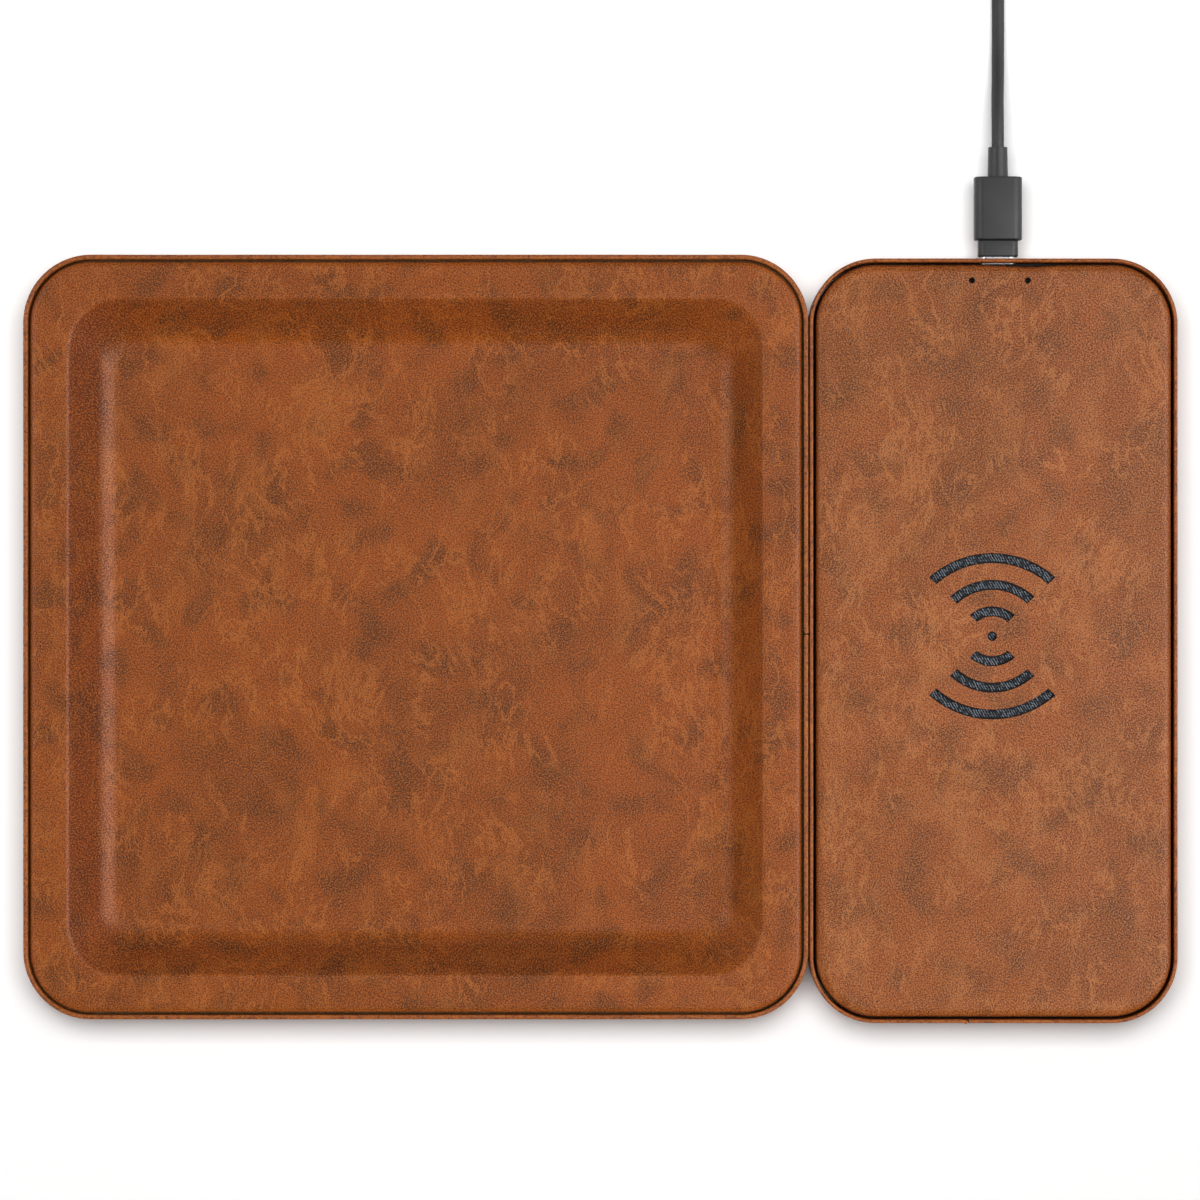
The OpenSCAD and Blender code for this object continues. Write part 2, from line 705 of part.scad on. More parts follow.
// Clear rods that carry the status lights up to the leather, each held by a collar under the plate
module light_pipes() {
    color("#dfe6ea") for (x = led_xs) {
        disc(x, led_y, pcb_z1 + led_size[2] + pipe_air, pipe_collar_z, pipe_foot_d);
        disc(x, led_y, pipe_collar_z, plate_z0 - fit, pipe_collar_d);
        disc(x, led_y, plate_z0 - fit, module_h - pipe_sink, pipe_d);
    }
}

// Coil, shield and carrier under the symbol

function coil_edge(side) =
    [for (i = [0:coil_turns * steps_per_turn])
        let (turn = i / steps_per_turn, a = 90 + 360 * turn)
        let (r = coil_in_r + coil_pitch * turn + side * wire_d / 2)
        [r * cos(a), r * sin(a)]];

module charging_coil() {
    color("#b8733a") translate([symbol_x, symbol_y, coil_z0]) linear_extrude(wire_d)
        polygon(concat(coil_edge(1), reversed(coil_edge(-1))));
}

module magnetic_shield() {
    color("#45454a") translate([symbol_x, symbol_y, shield_z0]) linear_extrude(shield_t) difference() {
        square(shield_w, center = true);
        translate([0, coil_in_r - slot_start + shield_w / 2]) square([slot_w, shield_w], center = true);
    }
}

module coil_carrier() {
    leg = carrier_w / 2 - carrier_leg_d / 2;
    color("#d8d8d2") translate([symbol_x, symbol_y, 0]) {
        translate([-carrier_w / 2, -carrier_w / 2, carrier_z0]) cube([carrier_w, carrier_w, carrier_t]);
        for (x = [-leg, leg], y = [-leg, leg])
            translate([x, y, floor_z + fit]) cylinder(d = carrier_leg_d, h = carrier_z0 - floor_z, $fn = 32);
    }
}

module coil_leads() {
    coil_out_r = coil_in_r + coil_pitch * coil_turns;
    pad_z = pcb_z1 + lead_d / 2 + fit;
    high = coil_z0 + wire_d / 2;
    low = shield_z1 - lead_d / 2;
    far = shield_w / 2 + lead_overrun;
    inner = [[0, coil_in_r - 1, low], [0, shield_w / 2, low], [0, far, low]];
    outer = [[-0.6, coil_out_r, high], [-2, coil_out_r + 0.6, high], [-2.6, coil_out_r + 2, high],
        [-lead_spread, shield_w / 2, high], [-lead_spread, far, high]];
    color("#a5642f") for (start = [inner, outer]) {
        up = [for (p = start) [symbol_x + p[0], symbol_y + p[1], p[2]]];
        top = up[len(up) - 1];
        down = [for (q = [[0.35, 0.75], [0.65, 0.3], [0.85, 0.05], [1, 0]])
            [top[0], top[1] + q[0] * (pcb_y0 - top[1]), pad_z + q[1] * (top[2] - pad_z)]];
        tube(concat(up, down, [[top[0], pcb_y0 + pad_len, pad_z]]), lead_d / 2, 8);
    }
}

// Lead

module plug_shell() {
    color(steel) along_y(plug_tip_y, grip_y) difference() {
        stadium(plug_shell_w, plug_shell_h);
        stadium(plug_shell_w - 2 * plug_wall, plug_shell_h - 2 * plug_wall);
    }
}

module plug_contacts() {
    inside = 2 * (plug_wall + fit);
    color("#202020") difference() {
        along_y(plug_tip_y + contact_gap, grip_y) stadium(plug_shell_w - inside, plug_shell_h - inside);
        along_y(plug_tip_y, plug_tip_y + contact_slot) square([tongue_w + 0.2, tongue_h + 0.2], center = true);
    }
}

module plug_nose() {
    color(lead_grey) along_y(nose_y, grip_y) difference() {
        rounded_area(nose_w, nose_h, nose_r);
        stadium(plug_shell_w + 2 * fit, plug_shell_h + 2 * fit);
    }
}

module plug_grip() {
    color(lead_grey) along_y(grip_y, relief_y) rounded_area(grip_w, grip_h, grip_r);
}

// Strain relief along an axis, thickest at the grip
module relief(len, d) {
    cylinder(d1 = d, d2 = d - relief_taper, h = len, $fn = 48);
}

module plug_strain_relief() {
    color(lead_grey) translate([socket_x, relief_y, socket_z]) rotate([-90, 0, 0]) relief(relief_len, relief_d);
}

module cord_run() {
    color(lead_grey) tube([for (p = run_points) [p[0], exit_y + p[1], p[2]]], cord_d / 2, 8);
}

// Stored cord: it spirals in on the lower layer, climbs in the half turn where the spiral reverses,
// and spirals out again on the upper one
function ease(t) = let (c = min(max(t, 0), 1)) c * c * (3 - 2 * c);
function stored_point(turn) =
    let (from_middle = turn - half_turns, r = stored_in_r + turn_pitch * abs(from_middle), a = 360 * turn)
    [stored_x + r * cos(a), stored_y + r * sin(a), stored_z + stored_rise * ease(from_middle * 2 + 0.5)];
stored_steps = stored_turns * steps_per_turn;
wound = [for (i = [0:stored_steps]) stored_point(i / steps_per_turn)];
gaps = [for (i = [0:len(wound) - 1], j = [i + steps_per_turn / 2:len(wound) - 1])
    norm(wound[i] - wound[j]) - cord_d];
echo("least gap of the stored cord to itself", min(gaps));

module cord_coil() {
    lead_in = [[cord_x, exit_y + run_points[len(run_points) - 1][1], stored_z]];
    top_z = stored_z + stored_rise;
    tail = [for (t = [0.35, 0.6, 0.83, 1])
        [stored_x - tail_len * t, tail_y, a_z + (top_z - a_z) * (1 - ease(t / 0.83))]];
    color(lead_grey) tube(concat(lead_in, wound, tail), cord_d / 2, 6);
}

// Strap round the bundle of turns, on the side away from the plug
module cord_tie() {
    inner_r = stored_in_r - cord_d / 2 - 1;
    outer_r = stored_out_r + cord_d / 2 + tie_air;
    z1 = stored_z + stored_rise + cord_d / 2 + tie_air;
    color("#2a2a2a") translate([stored_x, stored_y, 0]) rotate(225) translate([0, tie_w / 2, 0])
        rotate([90, 0, 0]) linear_extrude(tie_w) difference() {
            translate([inner_r - tie_t, 0]) square([outer_r - inner_r + 2 * tie_t, z1 + tie_t]);
            translate([inner_r, tie_t]) square([outer_r - inner_r, z1 - tie_t]);
        }
}

module usb_a_strain_relief() {
    color(lead_grey) translate([a_grip_x, tail_y, a_z]) rotate([0, 90, 0]) relief(a_relief_len, relief_d + 0.4);
}

module usb_a_grip() {
    color(lead_grey) along_x(a_shell_x, a_grip_x) rounded_area(a_grip_w, a_grip_h, grip_r);
}

module usb_a_shell() {
    color(steel) difference() {
        along_x(a_shell_x - a_shell_len, a_shell_x) difference() {
            square([a_shell_w, a_shell_h], center = true);
            square([a_shell_w - 2 * plug_wall, a_shell_h - 2 * plug_wall], center = true);
        }
        for (side = [-1, 1])
            translate([a_shell_x - a_shell_len / 2, tail_y + side * a_shell_w / 4, a_z])
                cube([a_window[0], a_window[1], 2 * a_shell_h], center = true);
    }
}

module usb_a_tongue() {
    w = a_shell_w - 2 * (plug_wall + fit);
    h = a_shell_h - 2 * (plug_wall + fit);
    root_x = a_shell_x - a_tongue_root;
    color("#202020") {
        along_x(root_x, a_shell_x) square([w, h], center = true);
        along_x(a_shell_x - a_shell_len + a_tongue_gap, root_x)
            translate([0, h / 4]) square([w, h / 2], center = true);
    }
}

tray_cover();
tray_rim_frame();
tray_base_board();
tray_side_band();
tray_base_lining();
tray_feet();
tray_magnets();
charger_cover();
symbol_cloth();
charger_top_plate();
charger_lower_housing();
charger_side_band();
charger_base_lining();
charger_feet();
housing_screws();
charger_magnets();
circuit_board();
board_screws();
usb_socket_shell();
usb_socket_tongue();
control_chip();
power_transistors();
power_inductor();
resonant_capacitors();
status_leds();
light_pipes();
charging_coil();
magnetic_shield();
coil_carrier();
coil_leads();
plug_shell();
plug_contacts();
plug_nose();
plug_grip();
plug_strain_relief();
cord_run();
cord_coil();
cord_tie();
usb_a_strain_relief();
usb_a_grip();
usb_a_shell();
usb_a_tongue();
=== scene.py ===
"""A leather-covered valet tray, the wireless charging pad beside it and the pad's lead, in metres."""
import json
import math

import bpy
import bmesh
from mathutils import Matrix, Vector, noise as hills


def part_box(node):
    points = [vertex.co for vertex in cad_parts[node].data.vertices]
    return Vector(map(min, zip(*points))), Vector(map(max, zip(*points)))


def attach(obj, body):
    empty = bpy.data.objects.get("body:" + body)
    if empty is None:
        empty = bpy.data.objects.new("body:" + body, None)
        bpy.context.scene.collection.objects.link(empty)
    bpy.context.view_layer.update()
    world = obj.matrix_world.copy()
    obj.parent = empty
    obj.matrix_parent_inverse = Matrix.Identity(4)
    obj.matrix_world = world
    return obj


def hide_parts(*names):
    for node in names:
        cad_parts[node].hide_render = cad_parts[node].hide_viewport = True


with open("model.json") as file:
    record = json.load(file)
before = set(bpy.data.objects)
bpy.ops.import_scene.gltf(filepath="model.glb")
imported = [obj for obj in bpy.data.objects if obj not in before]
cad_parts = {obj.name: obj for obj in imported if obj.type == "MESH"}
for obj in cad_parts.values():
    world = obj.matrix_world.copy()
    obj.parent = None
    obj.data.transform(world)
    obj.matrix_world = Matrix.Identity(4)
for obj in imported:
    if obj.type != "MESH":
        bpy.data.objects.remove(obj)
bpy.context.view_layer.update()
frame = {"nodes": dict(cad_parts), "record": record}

MM = 0.001


def middle(node):
    low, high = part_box(node)
    return (low + high) / 2


# Sizes that the looks share with the frame
TRAY_LOW, TRAY_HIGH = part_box("tray_side_band")
PAD_LOW, PAD_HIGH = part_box("charger_side_band")
TOP_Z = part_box("charger_cover")[1].z
SKIRT_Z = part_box("charger_cover")[0].z
BAND_Z0, BAND_Z1 = TRAY_LOW.z, TRAY_HIGH.z
LEATHER = 0.9 * MM
FLOOR_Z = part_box("tray_cover")[0].z + LEATHER


class Module:
    """Rounded rectangle that a module fills, seen from above."""

    def __init__(self, low, high, corner_r, band, groove, edge_r):
        self.x = (low.x + high.x) / 2
        self.y = (low.y + high.y) / 2
        self.half_w = (high.x - low.x) / 2
        self.half_d = (high.y - low.y) / 2
        self.corner_r = corner_r
        self.band = band
        self.skirt_s = band + groove
        self.edge_r = edge_r


TRAY = Module(TRAY_LOW, TRAY_HIGH, 16.5 * MM, 1.15 * MM, 0.5 * MM, 1.4 * MM)
PAD = Module(PAD_LOW, PAD_HIGH, 16 * MM, 0.9 * MM, 0.6 * MM, 1.9 * MM)


# Camera: straight down, as far up as a product photograph is taken from

VIEW_W = 291.7 * MM
VIEW_X = -0.1 * MM
VIEW_Y = 9.46 * MM
LENS = 152.5
SENSOR = 36.0

camera_data = bpy.data.cameras.new("camera")
camera_data.type = "PERSP"
camera_data.lens = LENS
camera_data.sensor_width = SENSOR
camera_data.clip_start = 0.05
camera_data.clip_end = 50
camera = bpy.data.objects.new("camera", camera_data)
camera.location = (VIEW_X, VIEW_Y, TOP_Z + VIEW_W * LENS / SENSOR)
bpy.context.scene.collection.objects.link(camera)
bpy.context.scene.camera = camera


# Meshes

def new_object(name, mesh, smooth_angle=40):
    """Object of a finished mesh, smooth except where faces meet at more than the angle."""
    piece = bpy.data.objects.new(name, mesh)
    bpy.context.scene.collection.objects.link(piece)
    mesh.shade_smooth()
    mesh.set_sharp_from_angle(angle=math.radians(smooth_angle))
    return piece


def mesh_from(name, points, faces):
    mesh = bpy.data.meshes.new(name)
    mesh.from_pydata(points, [], faces)
    mesh.update()
    return mesh


def recalculate(mesh):
    """Points every face outwards, after doubled points are merged."""
    work = bmesh.new()
    work.from_mesh(mesh)
    bmesh.ops.remove_doubles(work, verts=work.verts, dist=1e-7)
    bmesh.ops.recalc_face_normals(work, faces=work.faces)
    work.to_mesh(mesh)
    work.free()


def skin(name, rings, closed_ends=True, loop=True):
    """Mesh over rings with as many points each; an end is closed with one face."""
    count = len(rings[0])
    points = [p for ring in rings for p in ring]
    faces = []
    for i in range(len(rings) - 1):
        for j in range(count if loop else count - 1):
            k = (j + 1) % count
            faces.append((i * count + j, i * count + k, (i + 1) * count + k, (i + 1) * count + j))
    if closed_ends:
        last = (len(rings) - 1) * count
        faces.append(tuple(reversed(range(count))))
        faces.append(tuple(range(last, last + count)))
    return mesh_from(name, points, faces)


def finished(piece):
    """Applies the modifiers and leaves a plain mesh."""
    depsgraph = bpy.context.evaluated_depsgraph_get()
    mesh = bpy.data.meshes.new_from_object(piece.evaluated_get(depsgraph), depsgraph=depsgraph)
    piece.modifiers.clear()
    old = piece.data
    if piece.type == "MESH":
        piece.data = mesh
        return piece
    plain = bpy.data.objects.new(piece.name + "_mesh", mesh)
    bpy.context.scene.collection.objects.link(plain)
    bpy.data.objects.remove(piece)
    bpy.data.curves.remove(old)
    return plain


def tube(name, path, radius, sides):
    """Tube of round section along a path, with its seam kept level."""
    rings = []
    for i, point in enumerate(path):
        ahead = path[min(i + 1, len(path) - 1)]
        behind = path[max(i - 1, 0)]
        along = (ahead - behind).normalized()
        across = along.cross(Vector((0, 0, 1))).normalized()
        up = across.cross(along)
        turns = [2 * math.pi * j / sides for j in range(sides)]
        rings.append([point + radius * (math.cos(t) * across + math.sin(t) * up) for t in turns])
    return skin(name, rings)


# Lead: the cord comes first, because where it lies is settled in the frame

CORD_D = 3.05 * MM
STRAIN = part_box("plug_strain_relief")
CORD_EXIT = Vector(((STRAIN[0].x + STRAIN[1].x) / 2, STRAIN[1].y, (STRAIN[0].z + STRAIN[1].z) / 2))
SOCKET_Z = CORD_EXIT.z
TIE_T = 0.6 * MM
SEAT = 0.05 * MM
STORED_Z = TIE_T + SEAT + CORD_D / 2
# Drift to the right, distance from the strain relief and height above the table, in millimetres
CORD_DRIFT = 0.5
RUN_POINTS = [(0, 0, 7.5), (0, 3.1, 7.5), (0, 8, 7), (0.1, 13, 5.6), (0.3, 18, 4), (0.4, 23, 2.7),
              (CORD_DRIFT, 28, 1.9), (CORD_DRIFT, 34, 1.6), (CORD_DRIFT, 41, 1.6), (CORD_DRIFT, 48, 1.6),
              (CORD_DRIFT, 54, 1.8), (CORD_DRIFT, 59, 2.175), (CORD_DRIFT, 63.9, 2.175)]
STORED_TURNS = 8.25
STORED_IN_R = 10.4 * MM
TURN_PITCH = CORD_D + 0.5 * MM
STORED_OUT_R = STORED_IN_R + TURN_PITCH * STORED_TURNS / 2
STORED_X = CORD_EXIT.x + CORD_DRIFT * MM - STORED_OUT_R
STORED_Y = CORD_EXIT.y + 67 * MM
TAIL_Y = STORED_Y + STORED_OUT_R
TAIL_LEN = 19 * MM
RINGS_PER_TURN = 48
A_PLUG_Z = middle("usb_a_grip").z


def ease(t):
    t = min(max(t, 0), 1)
    return t * t * (3 - 2 * t)


def through(points, steps):
    """Smooth line through points, with this many steps between each two of them."""
    line = []
    for i in range(len(points) - 1):
        before = points[max(i - 1, 0)]
        start, end = points[i], points[i + 1]
        after = points[min(i + 2, len(points) - 1)]
        for step in range(steps):
            t = step / steps
            line.append(0.5 * (2 * start + t * (end - before)
                               + t * t * (2 * before - 5 * start + 4 * end - after)
                               + t ** 3 * (3 * start - before - 3 * end + after)))
    line.append(points[-1])
    return line


def stored_point(turn):
    """Point of the stored cord: in on the lower layer, out again on the upper one."""
    from_middle = turn - STORED_TURNS / 2
    radius = STORED_IN_R + TURN_PITCH * abs(from_middle)
    angle = 2 * math.pi * turn
    height = STORED_Z + TURN_PITCH * ease(from_middle * 2 + 0.5)
    return Vector((STORED_X + radius * math.cos(angle), STORED_Y + radius * math.sin(angle), height))


def cord_path():
    run = [CORD_EXIT + Vector((x * MM, d * MM, z * MM - SOCKET_Z)) for x, d, z in RUN_POINTS]
    wound = [stored_point(i / RINGS_PER_TURN)
             for i in range(1, int(STORED_TURNS * RINGS_PER_TURN) + 1)]
    top = STORED_Z + TURN_PITCH
    tail = [Vector((STORED_X - TAIL_LEN * t, TAIL_Y, A_PLUG_Z + (top - A_PLUG_Z) * (1 - ease(t / 0.83))))
            for t in (0.15, 0.35, 0.5, 0.65, 0.83, 1)]
    return through(run, 3) + [stored_point(0)] + wound + tail


CORD_PATH = cord_path()
lead_cord = new_object("lead_cord", tube("lead_cord", CORD_PATH, CORD_D / 2, 16), 60)


# Materials: a colour is written as it shows on a screen, from 0 to 255

def colour(red, green, blue):
    def linear(value):
        value /= 255
        return value / 12.92 if value <= 0.04045 else ((value + 0.055) / 1.055) ** 2.4
    return (linear(red), linear(green), linear(blue), 1)


def add(tree, kind, inputs=None, **settings):
    """Node of a kind, with its settings, and its inputs joined or set by name or number."""
    node = tree.nodes.new(kind)
    for key, value in settings.items():
        setattr(node, key, value)
    for key, value in (inputs or {}).items():
        if isinstance(value, bpy.types.NodeSocket):
            tree.links.new(value, node.inputs[key])
        else:
            node.inputs[key].default_value = value
    return node


class Finish:
    """A material and the few kinds of node that the finishes here are mixed from."""

    def __init__(self, name, **shader):
        self.material = bpy.data.materials.new(name)
        self.material.use_nodes = True
        self.tree = self.material.node_tree
        self.shader = self.tree.nodes["Principled BSDF"]
        for key, value in shader.items():
            self.shader.inputs[key.replace("_", " ")].default_value = value
        self.place = add(self.tree, "ShaderNodeTexCoord").outputs["Object"]

    def noise(self, scale, at=None, detail=2.0, rough=0.5, out="Fac"):
        inputs = {"Vector": at or self.place, "Scale": scale, "Detail": detail, "Roughness": rough}
        return add(self.tree, "ShaderNodeTexNoise", inputs).outputs[out]

    def cells(self, scale, at=None, feature="F1", out="Distance"):
        inputs = {"Vector": at or self.place, "Scale": scale}
        return add(self.tree, "ShaderNodeTexVoronoi", inputs, feature=feature).outputs[out]

    def wave(self, scale, at=None, **settings):
        inputs = {"Vector": at or self.place, "Scale": scale}
        return add(self.tree, "ShaderNodeTexWave", inputs, **settings).outputs["Fac"]

    def grain(self, scale, drawn_out=0.15, turns=110, solid=False):
        """Short dashes in rows whose direction changes slowly, as pebbles of grain lie."""
        way = self.noise(turns, detail=1.0, out="Color" if solid else "Fac")
        if solid:
            centred = {0: way, 1: (0.5, 0.5, 0.5)}
            way = add(self.tree, "ShaderNodeVectorMath", centred, operation="SUBTRACT").outputs[0]
        else:
            way = self.math("MULTIPLY", way, 4 * math.pi)
        inputs = {"Vector": self.place, "Scale": scale, "Frequency": 1.0, "Anisotropy": drawn_out,
                  5 if solid else 4: way}
        return add(self.tree, "ShaderNodeTexGabor", inputs,
                   gabor_type="3D" if solid else "2D").outputs["Value"]

    def turned(self, rotation, scale, at=None):
        inputs = {"Vector": at or self.place, "Rotation": rotation, "Scale": scale}
        return add(self.tree, "ShaderNodeMapping", inputs).outputs["Vector"]

    def bent(self, scale, reach, at=None, detail=1.0):
        """Coordinates pushed about by a slow noise, so that what follows them flows and stretches."""
        push = self.noise(scale, at, detail, out="Color")
        inputs = {0: push, 1: (reach, reach, reach), 2: at or self.place}
        return add(self.tree, "ShaderNodeVectorMath", inputs, operation="MULTIPLY_ADD").outputs[0]

    def math(self, operation, a, b=0.0, clamp=False):
        return add(self.tree, "ShaderNodeMath", {0: a, 1: b}, operation=operation,
                   use_clamp=clamp).outputs[0]

    def between(self, value, low, high, start=0.0, end=1.0):
        """Value taken smoothly from low..high to start..end."""
        inputs = {"Value": value, "From Min": low, "From Max": high, "To Min": start, "To Max": end}
        return add(self.tree, "ShaderNodeMapRange", inputs, interpolation_type="SMOOTHSTEP").outputs[0]

    def mix(self, factor, a, b, blend="MIX"):
        node = add(self.tree, "ShaderNodeMix", data_type="RGBA", blend_type=blend)
        for number, value in ((0, factor), (6, a), (7, b)):
            if isinstance(value, bpy.types.NodeSocket):
                self.tree.links.new(value, node.inputs[number])
            else:
                node.inputs[number].default_value = value
        return node.outputs[2]

    def attribute(self, name):
        return add(self.tree, "ShaderNodeAttribute", attribute_name=name).outputs["Fac"]

    def bump(self, height, distance, strength=1.0, over=None):
        inputs = {"Height": height, "Distance": distance, "Strength": strength}
        if over is not None:
            inputs["Normal"] = over
        return add(self.tree, "ShaderNodeBump", inputs).outputs["Normal"]

    def use(self, **sockets):
        for key, socket in sockets.items():
            self.tree.links.new(socket, self.shader.inputs[key.replace("_", " ")])
        return self.material


def leather(name, tone, shade, glow, solid=False):
    """Pull-up leather: soft dark and light clouds, fine light veins and a pebbled grain."""
    f = Finish(name, Specular_IOR_Level=0.3)
    drift = f.bent(38, 0.02)
    clouds = f.between(f.noise(30, detail=2.0), 0.34, 0.62, 0.5, 1.0)
    spots = f.between(f.noise(120, f.bent(60, 0.006), 1.0, 0.3), 0.28, 0.54, 0.75, 0.0)
    pale = f.between(f.noise(85, f.turned((0, 0, 0.6), (1, 0.5, 1), drift), 3.0, 0.6), 0.5, 0.72)
    veins = 0.0
    for scale, width, turn in ((75, 0.025, 0.7), (150, 0.045, -0.5)):
        slow = f.noise(scale, f.turned((0, 0, turn), (1, 0.45, 1), drift), 4.0, 0.62)
        line = f.between(f.math("ABSOLUTE", f.math("SUBTRACT", slow, 0.5)), 0.0, width, 1.0, 0.0)
        gathered = f.between(f.noise(scale / 2, f.turned((0, 0, scale), (1, 1, 1)), 1.0), 0.42, 0.62)
        veins = f.math("MAXIMUM", veins, f.math("MULTIPLY", line, gathered))
    pebbles = f.grain(GRAIN, solid=solid)
    fine = f.noise(2.2 * GRAIN, detail=1.0)
    pebbles = f.math("ADD", f.math("MULTIPLY", pebbles, 0.75), f.math("MULTIPLY", fine, 0.25))
    pits = f.between(pebbles, 0.37, 0.5, 0.65, 0.0)
    crowns = f.between(pebbles, 0.51, 0.63, 0.0, 0.65)

    base = f.mix(clouds, shade, tone)
    base = f.mix(spots, base, shade)
    base = f.mix(f.math("MULTIPLY", pale, 0.45), base, glow)
    base = f.mix(f.math("MULTIPLY", veins, 0.65), base, glow)
    # Painted shade: the basin's crease, walls and cove are multiplied darker and more saturated
    base = f.mix(f.attribute("pressed"), base, WALL_SHADE_TINT, "MULTIPLY")
    # Partly painted shade: the rolled edges turn a saturated orange, the tone of stretched leather and of an
    # edge where little light and no sheen fall
    base = f.mix(f.math("MULTIPLY", f.attribute("stretch"), 0.85), base, STRETCHED_EDGE_SHADE_TINT)
    base = f.mix(pits, base, PITS_AND_GROOVE_SHADE)
    base = f.mix(crowns, base, glow)
    # Painted shade: the skirt down in the groove and the foot of the roll are painted near black
    base = f.mix(f.attribute("hem"), base, PITS_AND_GROOVE_SHADE)
    rough = f.between(pebbles, 0.35, 0.65, 0.5, 0.38)
    return f.use(Base_Color=base, Roughness=rough, Normal=f.bump(pebbles, 0.09 * MM, 0.5))


# Pebbles of the leather's grain to a metre
GRAIN = 1620
HONEY = colour(196, 110, 40)
# Orange of the rolled edges: stretched leather's tone, partly painted shade
STRETCHED_EDGE_SHADE_TINT = colour(172, 84, 24)
# Dark of the grain's pits, also used for the painted shade in the groove
PITS_AND_GROOVE_SHADE = colour(44, 21, 4)
# Tint of the painted shade on the basin's walls and cove
WALL_SHADE_TINT = colour(206, 190, 128)
tray_hide = leather("tray_hide", colour(162, 78, 10), colour(106, 53, 4), HONEY)
# Painted sheen: the pad's leather is a lighter, greyer copy of the tray's, standing in for the veil of sheen
# over the pad
pad_hide = leather("pad_hide", colour(164, 84, 26), colour(120, 64, 20), colour(200, 122, 62))
band_hide = leather("band_hide", colour(172, 94, 42), colour(146, 76, 32), HONEY, solid=True)


def cut_edge_finish():
    """Cut edge of the leather: darkened by the cutter, with the backing's fibres."""
    f = Finish("cut_edge", Specular_IOR_Level=0.2)
    fibres = f.noise(2600, detail=3.0)
    base = f.mix(fibres, colour(52, 26, 12), colour(120, 70, 38))
    return f.use(Base_Color=base, Roughness=f.between(fibres, 0.3, 0.7, 0.95, 0.75),
                 Normal=f.bump(fibres, 0.1 * MM, 0.6))


def moulded(name, dark, light, rough, grain=1800, depth=0.02):
    """Moulded plastic or rubber with a fine spark-eroded texture and faint flow marks."""
    f = Finish(name)
    flow = f.noise(90, detail=2.0)
    texture = f.noise(grain, detail=3.0, rough=0.6)
    base = f.mix(f.between(flow, 0.3, 0.7), dark, light)
    roughness = f.between(texture, 0.3, 0.7, rough + 0.08, rough - 0.08)
    return f.use(Base_Color=base, Roughness=roughness, Normal=f.bump(texture, depth * MM, 0.5))


def metal(name, tint, rough, brush=(1, 0.04, 1), scale=2500, depth=0.01):
    """Plated sheet with drawing marks along the length that brush leaves long."""
    f = Finish(name, Metallic=1.0)
    marks = f.noise(scale, f.turned((0, 0, 0), brush), 3.0, 0.6)
    stains = f.noise(300, detail=2.0)
    base = f.mix(f.between(stains, 0.35, 0.7), tint, tuple(c * 0.82 for c in tint[:3]) + (1,))
    return f.use(Base_Color=base, Roughness=f.between(marks, 0.3, 0.7, rough + 0.1, rough - 0.06),
                 Normal=f.bump(marks, depth * MM, 0.4))


def woven(name, dark, light, pitch, rough=0.85):
    """Plain weave of threads pitch apart along X and Y."""
    f = Finish(name, Specular_IOR_Level=0.3)
    turns = 1 / pitch / 2
    warp = f.wave(turns, wave_type="BANDS", bands_direction="X")
    weft = f.wave(turns, wave_type="BANDS", bands_direction="Y")
    lint = f.noise(900, detail=3.0)
    threads = f.math("MAXIMUM", warp, weft)
    base = f.mix(f.math("MULTIPLY", threads, lint), dark, light)
    return f.use(Base_Color=base, Roughness=f.between(lint, 0.3, 0.7, rough, rough - 0.1),
                 Normal=f.bump(threads, 0.08 * MM, 0.7))


def pressed_board():
    f = Finish("pressed_board", Specular_IOR_Level=0.25)
    fibres = f.noise(1400, f.bent(300, 0.003), 4.0, 0.65)
    flakes = f.cells(500)
    base = f.mix(f.between(fibres, 0.3, 0.7), colour(84, 66, 44), colour(128, 106, 76))
    base = f.mix(f.between(flakes, 0.0, 0.4, 0.3, 0.0), base, colour(60, 46, 30))
    return f.use(Base_Color=base, Roughness=f.between(fibres, 0.3, 0.7, 0.95, 0.8),
                 Normal=f.bump(fibres, 0.1 * MM, 0.6))


def solder_mask():
    f = Finish("board_laminate", Coat_Weight=0.3)
    copper = f.cells(700, f.turned((0, 0, 0.78), (1, 1, 1)), "F1")
    traces = f.between(f.wave(420, f.bent(120, 0.004), wave_type="BANDS"), 0.7, 0.8)
    base = f.mix(f.between(copper, 0.1, 0.3), colour(30, 104, 62), colour(20, 78, 46))
    base = f.mix(traces, base, colour(34, 112, 66))
    return f.use(Base_Color=base, Roughness=f.between(traces, 0, 1, 0.4, 0.3),
                 Normal=f.bump(traces, 0.03 * MM, 0.5))


def cloth_thread():
    """Glossy black thread; some floats, at random, are painted light bluish grey, a painted highlight standing
    in for their sheen.
    """
    f = Finish("cloth_thread", Specular_IOR_Level=0.4)
    painted_glints = f.noise(900, detail=1.0)
    fibres = f.noise(6000, detail=2.0)
    # Painted highlight: the light colour on the floats
    base = f.mix(f.between(painted_glints, 0.34, 0.62), colour(34, 38, 44), colour(126, 136, 148))
    return f.use(Base_Color=base, Roughness=f.between(fibres, 0.3, 0.7, 0.7, 0.5),
                 Normal=f.bump(fibres, 0.03 * MM, 0.5))


def light_pipe_painted_dark():
    f = Finish("clear_plastic", Transmission_Weight=0.2, IOR=1.49, Specular_IOR_Level=0.15)
    haze = f.noise(700, detail=2.0)
    # Painted shade: the clear light pipes are coloured near black so that the holes over them show dark
    base = f.mix(haze, colour(10, 10, 10), colour(20, 20, 20))
    return f.use(Base_Color=base, Roughness=f.between(haze, 0.3, 0.7, 0.8, 0.65))


